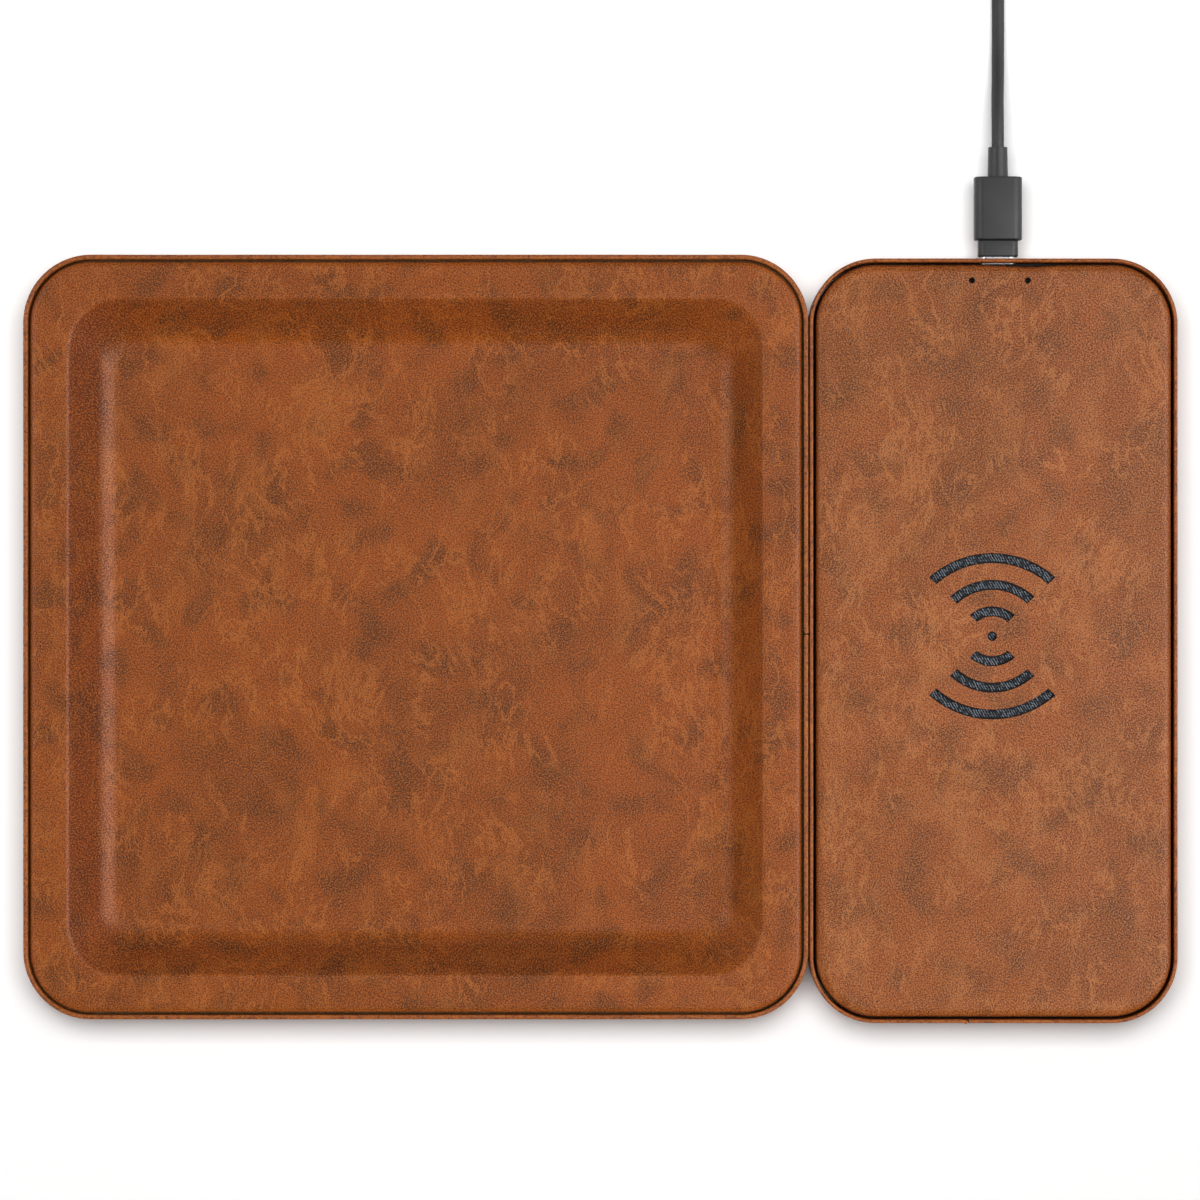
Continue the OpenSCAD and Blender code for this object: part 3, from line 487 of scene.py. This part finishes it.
LEAD_GREY = colour(38, 38, 39)
finishes = {
    "cover_leather": tray_hide,
    "band_leather": band_hide,
    "fibreboard": pressed_board(),
    "base_lining": woven("base_lining", colour(20, 20, 21), colour(44, 44, 46), 0.45 * MM),
    "black_cloth": moulded("cloth_ground", colour(12, 12, 14), colour(26, 27, 31), 0.9, 3000, 0.1),
    "foot_rubber": moulded("foot_rubber", colour(34, 34, 35), colour(48, 48, 49), 0.78),
    "magnet_nickel": metal("magnet_nickel", colour(196, 194, 188), 0.25, (1, 1, 1), 900),
    "housing_plastic": moulded("housing_plastic", colour(8, 8, 8), colour(14, 14, 15), 0.85),
    "screw_steel": metal("screw_steel", colour(176, 178, 182), 0.32, (1, 1, 1), 1600),
    "board_laminate": solder_mask(),
    "chip_resin": moulded("chip_resin", colour(24, 24, 26), colour(36, 36, 38), 0.5),
    "ferrite": moulded("ferrite", colour(58, 58, 62), colour(76, 76, 80), 0.7, 1200, 0.05),
    "capacitor_ceramic": moulded("capacitor_ceramic", colour(168, 136, 92), colour(190, 158, 110), 0.45),
    "clear_plastic": light_pipe_painted_dark(),
    "coil_copper": metal("coil_copper", colour(198, 118, 70), 0.3, (1, 1, 1), 2200),
    "carrier_plastic": moulded("carrier_plastic", colour(206, 206, 198), colour(222, 222, 216), 0.5),
    "plug_steel": metal("plug_steel", colour(206, 206, 208), 0.3, (1, 1, 1), 1600, 0.001),
    "contact_plastic": moulded("contact_plastic", colour(24, 24, 25), colour(32, 32, 33), 0.55),
    "lead_plastic": moulded("lead_plastic", LEAD_GREY, colour(45, 45, 46), 0.46, 2600, 0.006),
    "cord_jacket": moulded("cord_jacket", colour(42, 42, 43), colour(50, 50, 51), 0.55, 2200, 0.01),
    "tie_fabric": woven("tie_fabric", colour(16, 16, 17), colour(40, 40, 42), 0.5 * MM),
}
cut_edge = cut_edge_finish()


def finish_as(piece, slot, *more):
    """Gives a piece the finish of a material slot, and further materials for marked faces."""
    piece.data.materials.clear()
    piece.data.materials.append(finishes[slot])
    for material in more:
        piece.data.materials.append(material)


for part in frame["record"]["subparts"]:
    node = frame["nodes"][part["node"]]
    node.data.materials.clear()
    node.data.materials.append(finishes[part["material_slot"]])


def place_piece(piece, body, slot, nodes=(), more=()):
    finish_as(piece, slot, *more)
    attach(piece, body)
    if nodes:
        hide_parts(*nodes)
    return piece


# Leather covers

def corner_arc(x, y, r, start, steps):
    turns = [start + math.pi / 2 * i / steps for i in range(steps + 1)]
    return [Vector((x + r * math.cos(t), y + r * math.sin(t))) for t in turns]


def outline(module, inset, r, arc_steps=14, straight_steps=44):
    """Rounded outline of a module, moved inwards, counter-clockwise from the right side's front."""
    x = module.half_w - inset - r
    y = module.half_d - inset - r
    corners = [corner_arc(module.x + sx * x, module.y + sy * y, r, start, arc_steps)
               for sx, sy, start in ((1, 1, 0), (-1, 1, math.pi / 2), (-1, -1, math.pi),
                                     (1, -1, 1.5 * math.pi))]
    points = []
    for i, corner in enumerate(corners):
        behind = corners[i - 1][-1]
        run = [behind.lerp(corner[0], step / straight_steps) for step in range(1, straight_steps)]
        points += run + corner
    return points


RIM_W = 10.3 * MM
CREASE_R = 1.5 * MM
WALL = math.radians(48)
COVE_R = 7 * MM
BASIN_R = 13 * MM
CORNER_EASE = 0.6
WALL_TOP_S = RIM_W + CREASE_R * math.sin(WALL)
WALL_TOP_Z = TOP_Z - CREASE_R * (1 - math.cos(WALL))
WALL_FOOT_Z = FLOOR_Z + COVE_R * (1 - math.cos(WALL))
COVE_S = WALL_TOP_S + (WALL_TOP_Z - WALL_FOOT_Z) / math.tan(WALL) + COVE_R * math.sin(WALL)
FLOOR_STEP = 2.6 * MM


def tray_corner(s):
    """Corner radius at an inset: the rim follows the outside, the basin its own."""
    if s < RIM_W - 0.01 * MM:
        return TRAY.corner_r - s
    return max(BASIN_R - CORNER_EASE * (s - RIM_W), 1.2 * MM)


class Row:
    """One line round a cover: its inset and height, and how much it takes of the rolled edge's orange
    (stretched leather, partly painted shade), of painted shade on the basin walls and of painted shade in the
    groove.
    """

    def __init__(self, s, z, stretch=0.0, pressed=0.0, hem=0.0):
        self.s = s
        self.z = z
        self.looks = {"stretch": stretch, "pressed": pressed, "hem": hem}


def skirt_and_roll(module):
    """Rows from the foot of the skirt, painted dark as shade in the groove, up over the rolled edge."""
    s = module.skirt_s
    r = module.edge_r
    # Painted shade: the skirt rows, down in the groove, are painted near black
    rows = [Row(s, SKIRT_Z, hem=1), Row(s, (SKIRT_Z + TOP_Z - r) / 2, hem=1)]
    # Over the roll the stretched edge's orange, partly painted shade, is strongest low down; the painted groove
    # shade fades out over the lowest turns
    for i in range(9):
        turn = math.pi / 2 * i / 8
        rows.append(Row(s + r * (1 - math.cos(turn)), TOP_Z - r * (1 - math.sin(turn)),
                        stretch=1 - ease(i / 9), hem=1 - ease(i / 2.5)))
    return rows


def tray_profile():
    rows = skirt_and_roll(TRAY)
    start = rows[-1].s
    rows += [Row(start + (RIM_W - start) * i / 5, TOP_Z) for i in range(1, 5)]
    # Painted shade: the crease, wall and cove rows take the wall shade, rising over the crease, full on the
    # wall and fading out across the cove
    for i in range(7):
        turn = WALL * i / 6
        rows.append(Row(RIM_W + CREASE_R * math.sin(turn), TOP_Z - CREASE_R * (1 - math.cos(turn)),
                        pressed=ease(i / 6)))
    foot_s = COVE_S - COVE_R * math.sin(WALL)
    for i in range(1, 6):
        share = i / 6
        rows.append(Row(WALL_TOP_S + (foot_s - WALL_TOP_S) * share,
                        WALL_TOP_Z + (WALL_FOOT_Z - WALL_TOP_Z) * share, pressed=1))
    for i in range(11):
        turn = WALL * (1 - i / 10)
        rows.append(Row(COVE_S - COVE_R * math.sin(turn), FLOOR_Z + COVE_R * (1 - math.cos(turn)),
                        pressed=1 - ease(i / 7)))
    s = COVE_S + FLOOR_STEP
    while s < TRAY.half_d - 3 * MM:
        rows.append(Row(s, FLOOR_Z))
        s += FLOOR_STEP
    return rows


def pad_profile():
    rows = skirt_and_roll(PAD)
    s = rows[-1].s + 1.5 * MM
    while s < PAD.half_w - 3 * MM:
        rows.append(Row(s, TOP_Z))
        s += FLOOR_STEP
    return rows


# Lumps in the rolled back edge of the pad, where the leather was turned round the socket
PUCKER_X = 103.9 * MM
PUCKER_HALF = 6.5 * MM


def puckers(point, module):
    """How far the rolled edge lies further in than it should, at a point of the outline."""
    unevenness = 0.05 * MM * hills.noise(Vector((point.x, point.y, 0)) * 130)
    if module is not PAD or point.y < PAD.y + PAD.half_d - 4 * MM:
        return unevenness
    tight = math.exp(-((point.x - PUCKER_X) / PUCKER_HALF) ** 2)
    beside = math.exp(-((point.x - CORD_EXIT.x) / (26 * MM)) ** 2)
    ripple = 0.09 * MM * beside * math.sin(point.x * 2 * math.pi / (3.4 * MM))
    return unevenness + 0.42 * MM * tight + ripple


def sag(point):
    """Slow unevenness of leather that is glued over a flat face."""
    return 0.05 * MM * (hills.noise(Vector((point.x, point.y, 0)) * 45) - 0.5)


def cover_sheet(name, module, profile, corner):
    """Outer face of a cover, with the rolled edge's orange (partly painted shade), the painted wall shade and
    the painted groove shade kept on its points.
    """
    rings = []
    looks = {"stretch": [], "pressed": [], "hem": []}
    edge_top = module.skirt_s + module.edge_r
    for row in profile:
        ring = []
        s = row.s
        for point in outline(module, s, corner(s)):
            centre = Vector((module.x, module.y))
            inward = (centre - point).normalized()
            loose = 1 - ease((s - module.skirt_s) / (edge_top - module.skirt_s + 1 * MM))
            moved = point + inward * puckers(point, module) * loose
            lift = sag(point) * (1 - loose)
            ring.append(Vector((moved.x, moved.y, row.z + lift)))
            # The painted wall shade is weighted by side: full on the left, half across the middle, none on the
            # right
            across = (point.x - module.x) / module.half_w * 4
            hand = 0.5 + 0.5 * ease(-across - 2.4) - 0.5 * ease(across - 2.4)
            for label, value in row.looks.items():
                looks[label].append(value * hand if label == "pressed" else value)
        rings.append(ring)
    mesh = skin(name, rings, closed_ends=False)
    count = len(rings[0])
    last = (len(rings) - 1) * count
    work = bmesh.new()
    work.from_mesh(mesh)
    work.verts.ensure_lookup_table()
    work.faces.new([work.verts[last + j] for j in range(count)])
    bmesh.ops.recalc_face_normals(work, faces=work.faces)
    work.to_mesh(mesh)
    work.free()
    for label, values in looks.items():
        mesh.attributes.new(label, "FLOAT", "POINT").data.foreach_set("value", values)
    return mesh


def thickened(piece):
    solid = piece.modifiers.new("leather", "SOLIDIFY")
    solid.thickness = LEATHER
    solid.offset = -1
    solid.use_even_offset = True
    return finished(piece)


def upwards(piece):
    """Turns the sheet round if its top face points down."""
    mesh = piece.data
    if sum(p.normal.z * p.area for p in mesh.polygons) < 0:
        mesh.flip_normals()


tray_leather = new_object("tray_leather_cover", cover_sheet("tray_leather_cover", TRAY, tray_profile(),
                                                            tray_corner))
upwards(tray_leather)
tray_leather = thickened(tray_leather)
place_piece(tray_leather, "tray", "cover_leather", ["tray_cover"])

pad_leather = new_object("charger_leather_cover", cover_sheet("charger_leather_cover", PAD, pad_profile(),
                                                              lambda s: max(PAD.corner_r - s, 1 * MM)))
upwards(pad_leather)
pad_leather = thickened(pad_leather)


# Symbol: a dot and three waves above and below it, cut through the leather

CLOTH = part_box("symbol_cloth")
DOT = Vector(((CLOTH[0].x + CLOTH[1].x) / 2, (CLOTH[0].y + CLOTH[1].y) / 2))
DOT_D = 2.3 * MM
WAVE_W = 2.44 * MM
WAVE_ANGLE = math.radians(47)
WAVES = [(21.85 * MM, 19 * MM), (13.7 * MM, 12.5 * MM), (7 * MM, 6.05 * MM)]


def ray_hit(radius, crown, angle):
    """Point where a ray from the dot meets a wave's edge, as an angle about the edge's own centre."""
    centre = crown - radius
    edge = radius
    along = centre * math.cos(angle) + math.sqrt(edge ** 2 - (centre * math.sin(angle)) ** 2)
    x = along * math.sin(angle)
    y = along * math.cos(angle) - centre
    return math.atan2(x, y)


def wave_outline(radius, crown, width, steps=28):
    """Closed outline of one wave above the dot, about the dot."""
    centre = crown - radius
    points = []
    for half, way in ((width / 2, 1), (-width / 2, -1)):
        edge = radius + half
        end = ray_hit(edge, crown + half, WAVE_ANGLE)
        turns = [way * end * (1 - 2 * i / steps) for i in range(steps + 1)]
        points += [Vector((edge * math.sin(t), centre + edge * math.cos(t))) for t in turns]
    return points


def circle(radius, sides):
    turns = [2 * math.pi * i / sides for i in range(sides)]
    return [Vector((radius * math.cos(t), radius * math.sin(t))) for t in turns]


def symbol_outlines(inset=0.0):
    """Outlines of the symbol's cut-outs, or of what lies further inside them than the inset."""
    shapes = [circle(DOT_D / 2 - inset, 32)]
    for radius, crown in WAVES:
        upper = wave_outline(radius, crown, WAVE_W - 2 * inset)
        shapes.append(upper)
        shapes.append([-p for p in upper])
    return [[DOT + p for p in shape] for shape in shapes]


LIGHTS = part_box("light_pipes")
LIGHT_Y = (LIGHTS[0].y + LIGHTS[1].y) / 2
COLLAR_R = 1.4 * MM
LIGHT_XS = [LIGHTS[0].x + COLLAR_R, LIGHTS[1].x - COLLAR_R]
LIGHT_HOLE_R = 0.76 * MM


def punch(piece, prisms, edge_material):
    """Cuts prisms, each given as its two end outlines, out of a piece; cuts get the edge material."""
    points = []
    faces = []
    for near, far in prisms:
        start = len(points)
        n = len(near)
        points += near + far
        for j in range(n):
            k = (j + 1) % n
            faces.append((start + j, start + k, start + n + k, start + n + j))
        faces.append(tuple(range(start, start + n)))
        faces.append(tuple(reversed(range(start + n, start + 2 * n))))
    mesh = mesh_from("punch", points, faces)
    recalculate(mesh)
    mesh.materials.append(edge_material)
    cutter = bpy.data.objects.new("punch", mesh)
    bpy.context.scene.collection.objects.link(cutter)
    cut = piece.modifiers.new("punch", "BOOLEAN")
    cut.operation = "DIFFERENCE"
    cut.solver = "EXACT"
    cut.material_mode = "TRANSFER"
    cut.object = cutter
    finished(piece)
    bpy.data.objects.remove(cutter)
    piece.data.shade_smooth()
    piece.data.set_sharp_from_angle(angle=math.radians(40))


def downwards(shape):
    """Prism that goes down through the pad's cover."""
    return [[Vector((p.x, p.y, TOP_Z + way * 4 * MM)) for p in shape] for way in (-1, 1)]


holes = [[Vector((x, LIGHT_Y)) + p for p in circle(LIGHT_HOLE_R, 24)] for x in LIGHT_XS]
pad_leather.data.materials.append(pad_hide)
punch(pad_leather, [downwards(shape) for shape in symbol_outlines() + holes], cut_edge)
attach(pad_leather, "charger")
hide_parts("charger_cover")


# Geometry Nodes

class Grower:
    """A Geometry Nodes tree with named inputs, and the few steps that the repeats here share."""

    def __init__(self, name, **sizes):
        self.tree = bpy.data.node_groups.new(name, "GeometryNodeTree")
        self.tree.interface.new_socket("Geometry", in_out="INPUT", socket_type="NodeSocketGeometry")
        for label, value in sizes.items():
            kind = {int: "NodeSocketInt", float: "NodeSocketFloat"}.get(type(value), "NodeSocketObject")
            self.tree.interface.new_socket(label.replace("_", " "), in_out="INPUT", socket_type=kind)
        self.tree.interface.new_socket("Geometry", in_out="OUTPUT", socket_type="NodeSocketGeometry")
        self.start = self.tree.nodes.new("NodeGroupInput")
        self.sizes = sizes

    def size(self, label):
        return self.start.outputs[label.replace("_", " ")]

    def node(self, kind, inputs=None, **settings):
        return add(self.tree, kind, inputs, **settings)

    def math(self, operation, a, b=0.0):
        return self.node("ShaderNodeMath", {0: a, 1: b}, operation=operation).outputs[0]

    def finish(self, geometry, material):
        real = self.node("GeometryNodeRealizeInstances", {"Geometry": geometry})
        coated = self.node("GeometryNodeSetMaterial", {"Geometry": real.outputs[0], "Material": material})
        end = self.tree.nodes.new("NodeGroupOutput")
        self.tree.links.new(coated.outputs[0], end.inputs[0])

    def grow(self, name, source, smooth_angle=40):
        """Runs the tree on an object and returns the result as a plain mesh object."""
        grower = source.modifiers.new("grow", "NODES")
        grower.node_group = self.tree
        for item in self.tree.interface.items_tree:
            label = item.name.replace(" ", "_")
            if item.in_out == "INPUT" and label in self.sizes:
                grower[item.identifier] = self.sizes[label]
        depsgraph = bpy.context.evaluated_depsgraph_get()
        mesh = bpy.data.meshes.new_from_object(source.evaluated_get(depsgraph), depsgraph=depsgraph)
        bpy.data.objects.remove(source)
        mesh.name = name
        return new_object(name, mesh, smooth_angle)


def line_object(name, points):
    """Open curve of straight pieces whose sections stand upright."""
    data = bpy.data.curves.new(name, "CURVE")
    data.dimensions = "3D"
    data.twist_mode = "Z_UP"
    spline = data.splines.new("POLY")
    spline.points.add(len(points) - 1)
    for target, point in zip(spline.points, points):
        target.co = (*point, 1)
    source = bpy.data.objects.new(name, data)
    bpy.context.scene.collection.objects.link(source)
    return source


def point_object(name, points):
    source = bpy.data.objects.new(name, mesh_from(name, points, []))
    bpy.context.scene.collection.objects.link(source)
    return source


# Cloth behind the symbol: floats of a coarse twill, laid only where the symbol shows them

THREAD_L = 0.86 * MM
THREAD_W = 0.29 * MM
THREAD_ROW = 0.6 * MM
THREAD_STEP = 0.66 * MM
THREAD_LEAN = math.radians(-52)
CUT_MARGIN = 0.5 * MM


def twill(shapes):
    """Short leaning floats of thread in rows, each row set half a step on from the last."""
    points = []
    faces = []
    for shape in shapes:
        faces.append(tuple(range(len(points), len(points) + len(shape))))
        points += [Vector((p.x, p.y, CLOTH[1].z)) for p in shape]
    shown = bpy.data.objects.new("symbol_shown", mesh_from("symbol_shown", points, faces))
    bpy.context.scene.collection.objects.link(shown)
    places = []
    row = 0
    y = CLOTH[0].y + THREAD_W
    while y < CLOTH[1].y - THREAD_W:
        x = CLOTH[0].x + THREAD_L / 2 + THREAD_STEP / 2 * (row % 2)
        while x < CLOTH[1].x - THREAD_L / 2:
            places.append(Vector((x, y, CLOTH[1].z)))
            x += THREAD_STEP
        y += THREAD_ROW
        row += 1
    source = point_object("twill_places", places)

    g = Grower("twill", Shown=shown, Reach=0.12 * MM, Length=THREAD_L, Width=THREAD_W, Height=0.16 * MM,
               Lean=THREAD_LEAN, Stray=0.06 * MM, Turn=0.18, Seed=5)
    target = g.node("GeometryNodeObjectInfo", {"Object": g.size("Shown")}).outputs["Geometry"]
    away = g.node("GeometryNodeProximity", {0: target}, target_element="FACES").outputs["Distance"]
    near = g.node("FunctionNodeCompare", {0: away, 1: g.size("Reach")}, operation="LESS_THAN",
                  data_type="FLOAT").outputs[0]
    kept = g.node("GeometryNodeSeparateGeometry", {"Geometry": g.start.outputs["Geometry"],
                                                   "Selection": near}).outputs[0]
    low = g.math("MULTIPLY", g.size("Stray"), -1.0)
    shift = g.node("FunctionNodeRandomValue", {"Seed": g.size("Seed"), 2: low, 3: g.size("Stray")},
                   data_type="FLOAT").outputs[1]
    shift = g.node("ShaderNodeCombineXYZ", {"X": shift, "Y": shift}).outputs[0]
    kept = g.node("GeometryNodeSetPosition", {"Geometry": kept, "Offset": shift}).outputs[0]
    bead = g.node("GeometryNodeMeshUVSphere", {"Segments": 8, "Rings": 5, "Radius": 0.5}).outputs[0]
    size = g.node("ShaderNodeCombineXYZ", {"X": g.size("Length"), "Y": g.size("Width"),
                                           "Z": g.size("Height")}).outputs[0]
    bead = g.node("GeometryNodeTransform", {"Geometry": bead, "Scale": size}).outputs[0]
    low = g.math("SUBTRACT", g.size("Lean"), g.size("Turn"))
    high = g.math("ADD", g.size("Lean"), g.size("Turn"))
    turn = g.node("FunctionNodeRandomValue", {"Seed": 7, 2: low, 3: high}, data_type="FLOAT").outputs[1]
    lean = g.node("ShaderNodeCombineXYZ", {"Z": turn}).outputs[0]
    floats = g.node("GeometryNodeInstanceOnPoints", {"Points": kept, "Instance": bead, "Rotation": lean})
    g.finish(floats.outputs[0], thread)
    weave = g.grow("symbol_twill", source)
    bpy.data.objects.remove(shown)
    return weave


thread = cloth_thread()
symbol_twill = twill(symbol_outlines(CUT_MARGIN))
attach(symbol_twill, "charger")


# Bands round the sides

def band_tree(width, height, seed):
    """Strip with rounded edges that follows a line and wanders a little from it."""
    g = Grower("band", Width=width, Height=height, Edge_Radius=0.36 * MM, Wander=0.1 * MM,
               Wander_Scale=34.0, Seed=seed)
    place = g.node("GeometryNodeInputPosition").outputs[0]
    wander = g.node("ShaderNodeTexNoise", {"Vector": place, "W": g.size("Seed"),
                                           "Scale": g.size("Wander_Scale"), "Detail": 1.0},
                    noise_dimensions="4D").outputs["Color"]
    centred = g.node("ShaderNodeVectorMath", {0: wander, 1: (0.5, 0.5, 0.5)},
                     operation="SUBTRACT").outputs[0]
    offset = g.node("ShaderNodeVectorMath", {0: centred, "Scale": g.size("Wander")},
                    operation="SCALE").outputs[0]
    path = g.node("GeometryNodeSetPosition", {"Geometry": g.start.outputs["Geometry"],
                                              "Offset": offset})
    square = g.node("GeometryNodeCurvePrimitiveQuadrilateral",
                    {"Width": g.size("Width"), "Height": g.size("Height")})
    section = g.node("GeometryNodeFilletCurve", {"Curve": square.outputs[0], "Count": 4,
                                                 "Radius": g.size("Edge_Radius")}, mode="POLY")
    strip = g.node("GeometryNodeCurveToMesh", {"Curve": path.outputs[0],
                                               "Profile Curve": section.outputs[0],
                                               "Fill Caps": True})
    g.finish(strip.outputs[0], band_hide)
    return g


# The butt lies on the straight run that the outline starts with, or on the front one
def nearest_index(points, x, y):
    return min(range(len(points)), key=lambda i: (points[i] - Vector((x, y))).length)


TRAY_BUTT_Y = TRAY.y + 0.7 * MM
PAD_BUTT_X = PAD.x - 6.2 * MM
BUTT_GAP = 0.35 * MM
CURL_L = 1.6 * MM
SOCKET_AIR = 0.4 * MM


def make_band(name, module, butt, body, node, seed, curl, openings=()):
    """Band whose two ends butt at a point of the outline, each curled out by its own measure."""
    middle_z = (BAND_Z0 + BAND_Z1) / 2
    loop = outline(module, module.band / 2, module.corner_r - module.band / 2, 24, 60)
    start = nearest_index(loop, butt.x, butt.y)
    order = loop[start:] + loop[:start]
    order = [p for p in order if (p - butt).length > CURL_L]
    tangent = (order[0] - order[-1]).normalized()
    outward = Vector((tangent.y, -tangent.x))
    first = [butt + tangent * (BUTT_GAP / 2 + CURL_L * t) + outward * curl[0] * (1 - t) ** 2
             for t in (0, 0.25, 0.5, 0.75)]
    last = [butt - tangent * (BUTT_GAP / 2 + CURL_L * t) + outward * curl[1] * (1 - t) ** 2
            for t in (0.75, 0.5, 0.25, 0)]
    line = first + order + last
    source = line_object(name + "_line", [Vector((p.x, p.y, middle_z)) for p in line])
    band = band_tree(module.band, BAND_Z1 - BAND_Z0, seed).grow(name, source)
    recalculate(band.data)
    finish_as(band, "band_leather", cut_edge)
    for face in band.data.polygons:
        centre = Vector((face.center.x, face.center.y))
        at_end = (centre - butt).length < CURL_L and abs(face.normal.xy.dot(tangent)) > 0.8
        face.material_index = 1 if at_end else 0
    if openings:
        punch(band, openings, cut_edge)
    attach(band, body)
    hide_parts(node)


def socket_opening():
    """Prism through the pad's band at the socket, with air round the socket's shell."""
    low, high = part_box("usb_socket_shell")
    half_h = (high.z - low.z) / 2 + SOCKET_AIR
    run = (high.x - low.x) / 2 + SOCKET_AIR - half_h
    outline_xz = [(way * run + half_h * math.cos(t), half_h * math.sin(t))
                  for way, first in ((1, -math.pi / 2), (-1, math.pi / 2))
                  for t in (first + math.pi * i / 12 for i in range(13))]
    back = PAD.y + PAD.half_d
    return [[Vector((CORD_EXIT.x + x, y, SOCKET_Z + z)) for x, z in outline_xz]
            for y in (back - 2 * PAD.band, back + PAD.band)]


make_band("tray_leather_band", TRAY, Vector((TRAY.x + TRAY.half_w - TRAY.band / 2, TRAY_BUTT_Y)), "tray",
          "tray_side_band", 3, (0.12 * MM, 0.05 * MM))
make_band("charger_leather_band", PAD, Vector((PAD_BUTT_X, PAD.y - PAD.half_d + PAD.band / 2)), "charger",
          "charger_side_band", 8, (0.02 * MM, 0.3 * MM), [socket_opening()])


# Moulded grips of the lead, with the soft edges that the mould leaves

def rounded_bar(node, axis, corner_r, edge_r, steps=5):
    """Bar of rounded section in the place of a node, along an axis, with its end edges rounded too."""
    low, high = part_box(node)
    centre = (low + high) / 2
    half = (high - low) / 2
    side, height = (0 if axis == 1 else 1), 2
    ends = [(edge_r * (1 - math.cos(math.pi / 2 * i / steps)), edge_r * (1 - math.sin(math.pi / 2 * i / steps)))
            for i in range(steps + 1)]
    stations = [(deep - half[axis], inset) for deep, inset in ends]
    stations += [(half[axis] - deep, inset) for deep, inset in reversed(ends)]
    rings = []
    for along, inset in stations:
        r = max(corner_r - inset, 0.2 * MM)
        ring = []
        for sx, sy, start in ((1, 1, 0), (-1, 1, math.pi / 2), (-1, -1, math.pi), (1, -1, 1.5 * math.pi)):
            x = sx * (half[side] - inset - r)
            y = sy * (half[height] - inset - r)
            for p in corner_arc(x, y, r, start, 8):
                point = centre.copy()
                point[axis] += along
                point[side] += p.x
                point[height] += p.y
                ring.append(point)
        rings.append(ring)
    mesh = skin(node + "_moulding", rings)
    recalculate(mesh)
    bar = new_object(node + "_moulding", mesh, 30)
    return place_piece(bar, "lead", "lead_plastic", [node])


NOSE_R = 1.6 * MM
GRIP_R = 2.2 * MM
MOULD_EDGE = 0.35 * MM
mouldings = [rounded_bar("plug_nose", 1, NOSE_R, MOULD_EDGE), rounded_bar("plug_grip", 1, GRIP_R, MOULD_EDGE),
             rounded_bar("usb_a_grip", 0, GRIP_R, MOULD_EDGE)]


# Cord: given its finish and attached to the lead, in place of the frame's cord run and coil, which are hidden
place_piece(lead_cord, "lead", "cord_jacket", ["cord_run", "cord_coil"])


# Studio: a white floor and a far white wall round it, two soft lamps and one above

def shows_white(name, near, far):
    """Matt white that takes shadows within near and shows as the picture's white past far."""
    material = bpy.data.materials.new(name)
    material.use_nodes = True
    tree = material.node_tree
    tree.nodes.clear()
    matt = add(tree, "ShaderNodeBsdfDiffuse", {"Color": (0.86, 0.86, 0.86, 1)})
    path = add(tree, "ShaderNodeLightPath")
    seen = add(tree, "ShaderNodeMath", {0: path.outputs["Is Camera Ray"], 1: path.outputs["Is Glossy Ray"]},
               operation="MAXIMUM")
    seen = add(tree, "ShaderNodeMath", {0: seen.outputs[0], 1: path.outputs["Is Transmission Ray"]},
               operation="MAXIMUM")
    place = add(tree, "ShaderNodeTexCoord").outputs["Object"]
    away = add(tree, "ShaderNodeVectorMath", {0: place}, operation="LENGTH").outputs["Value"]
    share = add(tree, "ShaderNodeMapRange", {"Value": away, "From Min": near, "From Max": far},
                interpolation_type="SMOOTHSTEP").outputs[0]
    strength = add(tree, "ShaderNodeMath", {0: seen.outputs[0], 1: share}, operation="MULTIPLY")
    glow = add(tree, "ShaderNodeEmission", {"Color": (1, 1, 1, 1), "Strength": strength.outputs[0]})
    both = add(tree, "ShaderNodeAddShader", {0: matt.outputs[0], 1: glow.outputs[0]})
    add(tree, "ShaderNodeOutputMaterial", {"Surface": both.outputs[0]})
    return material


STUDIO_R = 7.0
WALL_H = 3.6
SHADOW_R = 0.3
WHITE_R = 0.9


def studio():
    sides = 48
    turns = [2 * math.pi * i / sides for i in range(sides)]
    rim = [Vector((STUDIO_R * math.cos(t), STUDIO_R * math.sin(t), 0)) for t in turns]
    ground = bpy.data.objects.new("floor", mesh_from("floor", rim, [tuple(range(sides))]))
    wall_mesh = skin("backdrop", [rim, [p + Vector((0, 0, WALL_H)) for p in rim]], closed_ends=False)
    wall = bpy.data.objects.new("backdrop", wall_mesh)
    white = shows_white("studio_white", SHADOW_R, WHITE_R)
    for piece in (ground, wall):
        bpy.context.scene.collection.objects.link(piece)
        piece.data.materials.append(white)
    return ground


def lamp(name, place, target, width, depth, power, lights_floor=False, gloss=False):
    """Soft lamp for the floor, for the object's colours or for its gloss."""
    data = bpy.data.lights.new(name, "AREA")
    data.shape = "RECTANGLE"
    data.size = width
    data.size_y = depth
    data.energy = power
    light = bpy.data.objects.new(name, data)
    light.location = place
    light.rotation_euler = (Vector(target) - Vector(place)).to_track_quat("-Z", "Y").to_euler()
    light.visible_glossy = gloss
    light.visible_diffuse = not gloss
    lit = bpy.data.collections.new(name + "_lights")
    lit.objects.link(ground)
    lit.collection_objects[0].light_linking.link_state = "INCLUDE" if lights_floor else "EXCLUDE"
    light.light_linking.receiver_collection = lit
    bpy.context.scene.collection.objects.link(light)


ground = studio()
lamp("soft_lamp_floor", (0, 0.3, 1.5), (0, 0.3, 0), 1.2, 0.9, 30.5, lights_floor=True)
lamp("soft_lamp_above", (0.37, -0.16, 1.71), (0, 0, 0), 0.7, 0.7, 21.6)
lamp("gloss_lamp_right", (0.88, 0.0, 1.18), (0, 0, 0), 0.85, 1.4, 18, gloss=True)
lamp("gloss_lamp_left", (-0.95, 0.2, 1.15), (0, 0, 0), 0.4, 1.0, 7, gloss=True)

world = bpy.data.worlds.new("studio_air")
world.use_nodes = True
world.node_tree.nodes["Background"].inputs["Color"].default_value = (0.14, 0.141, 0.138, 1)
bpy.context.scene.world = world

bpy.context.scene.view_settings.view_transform = "Standard"
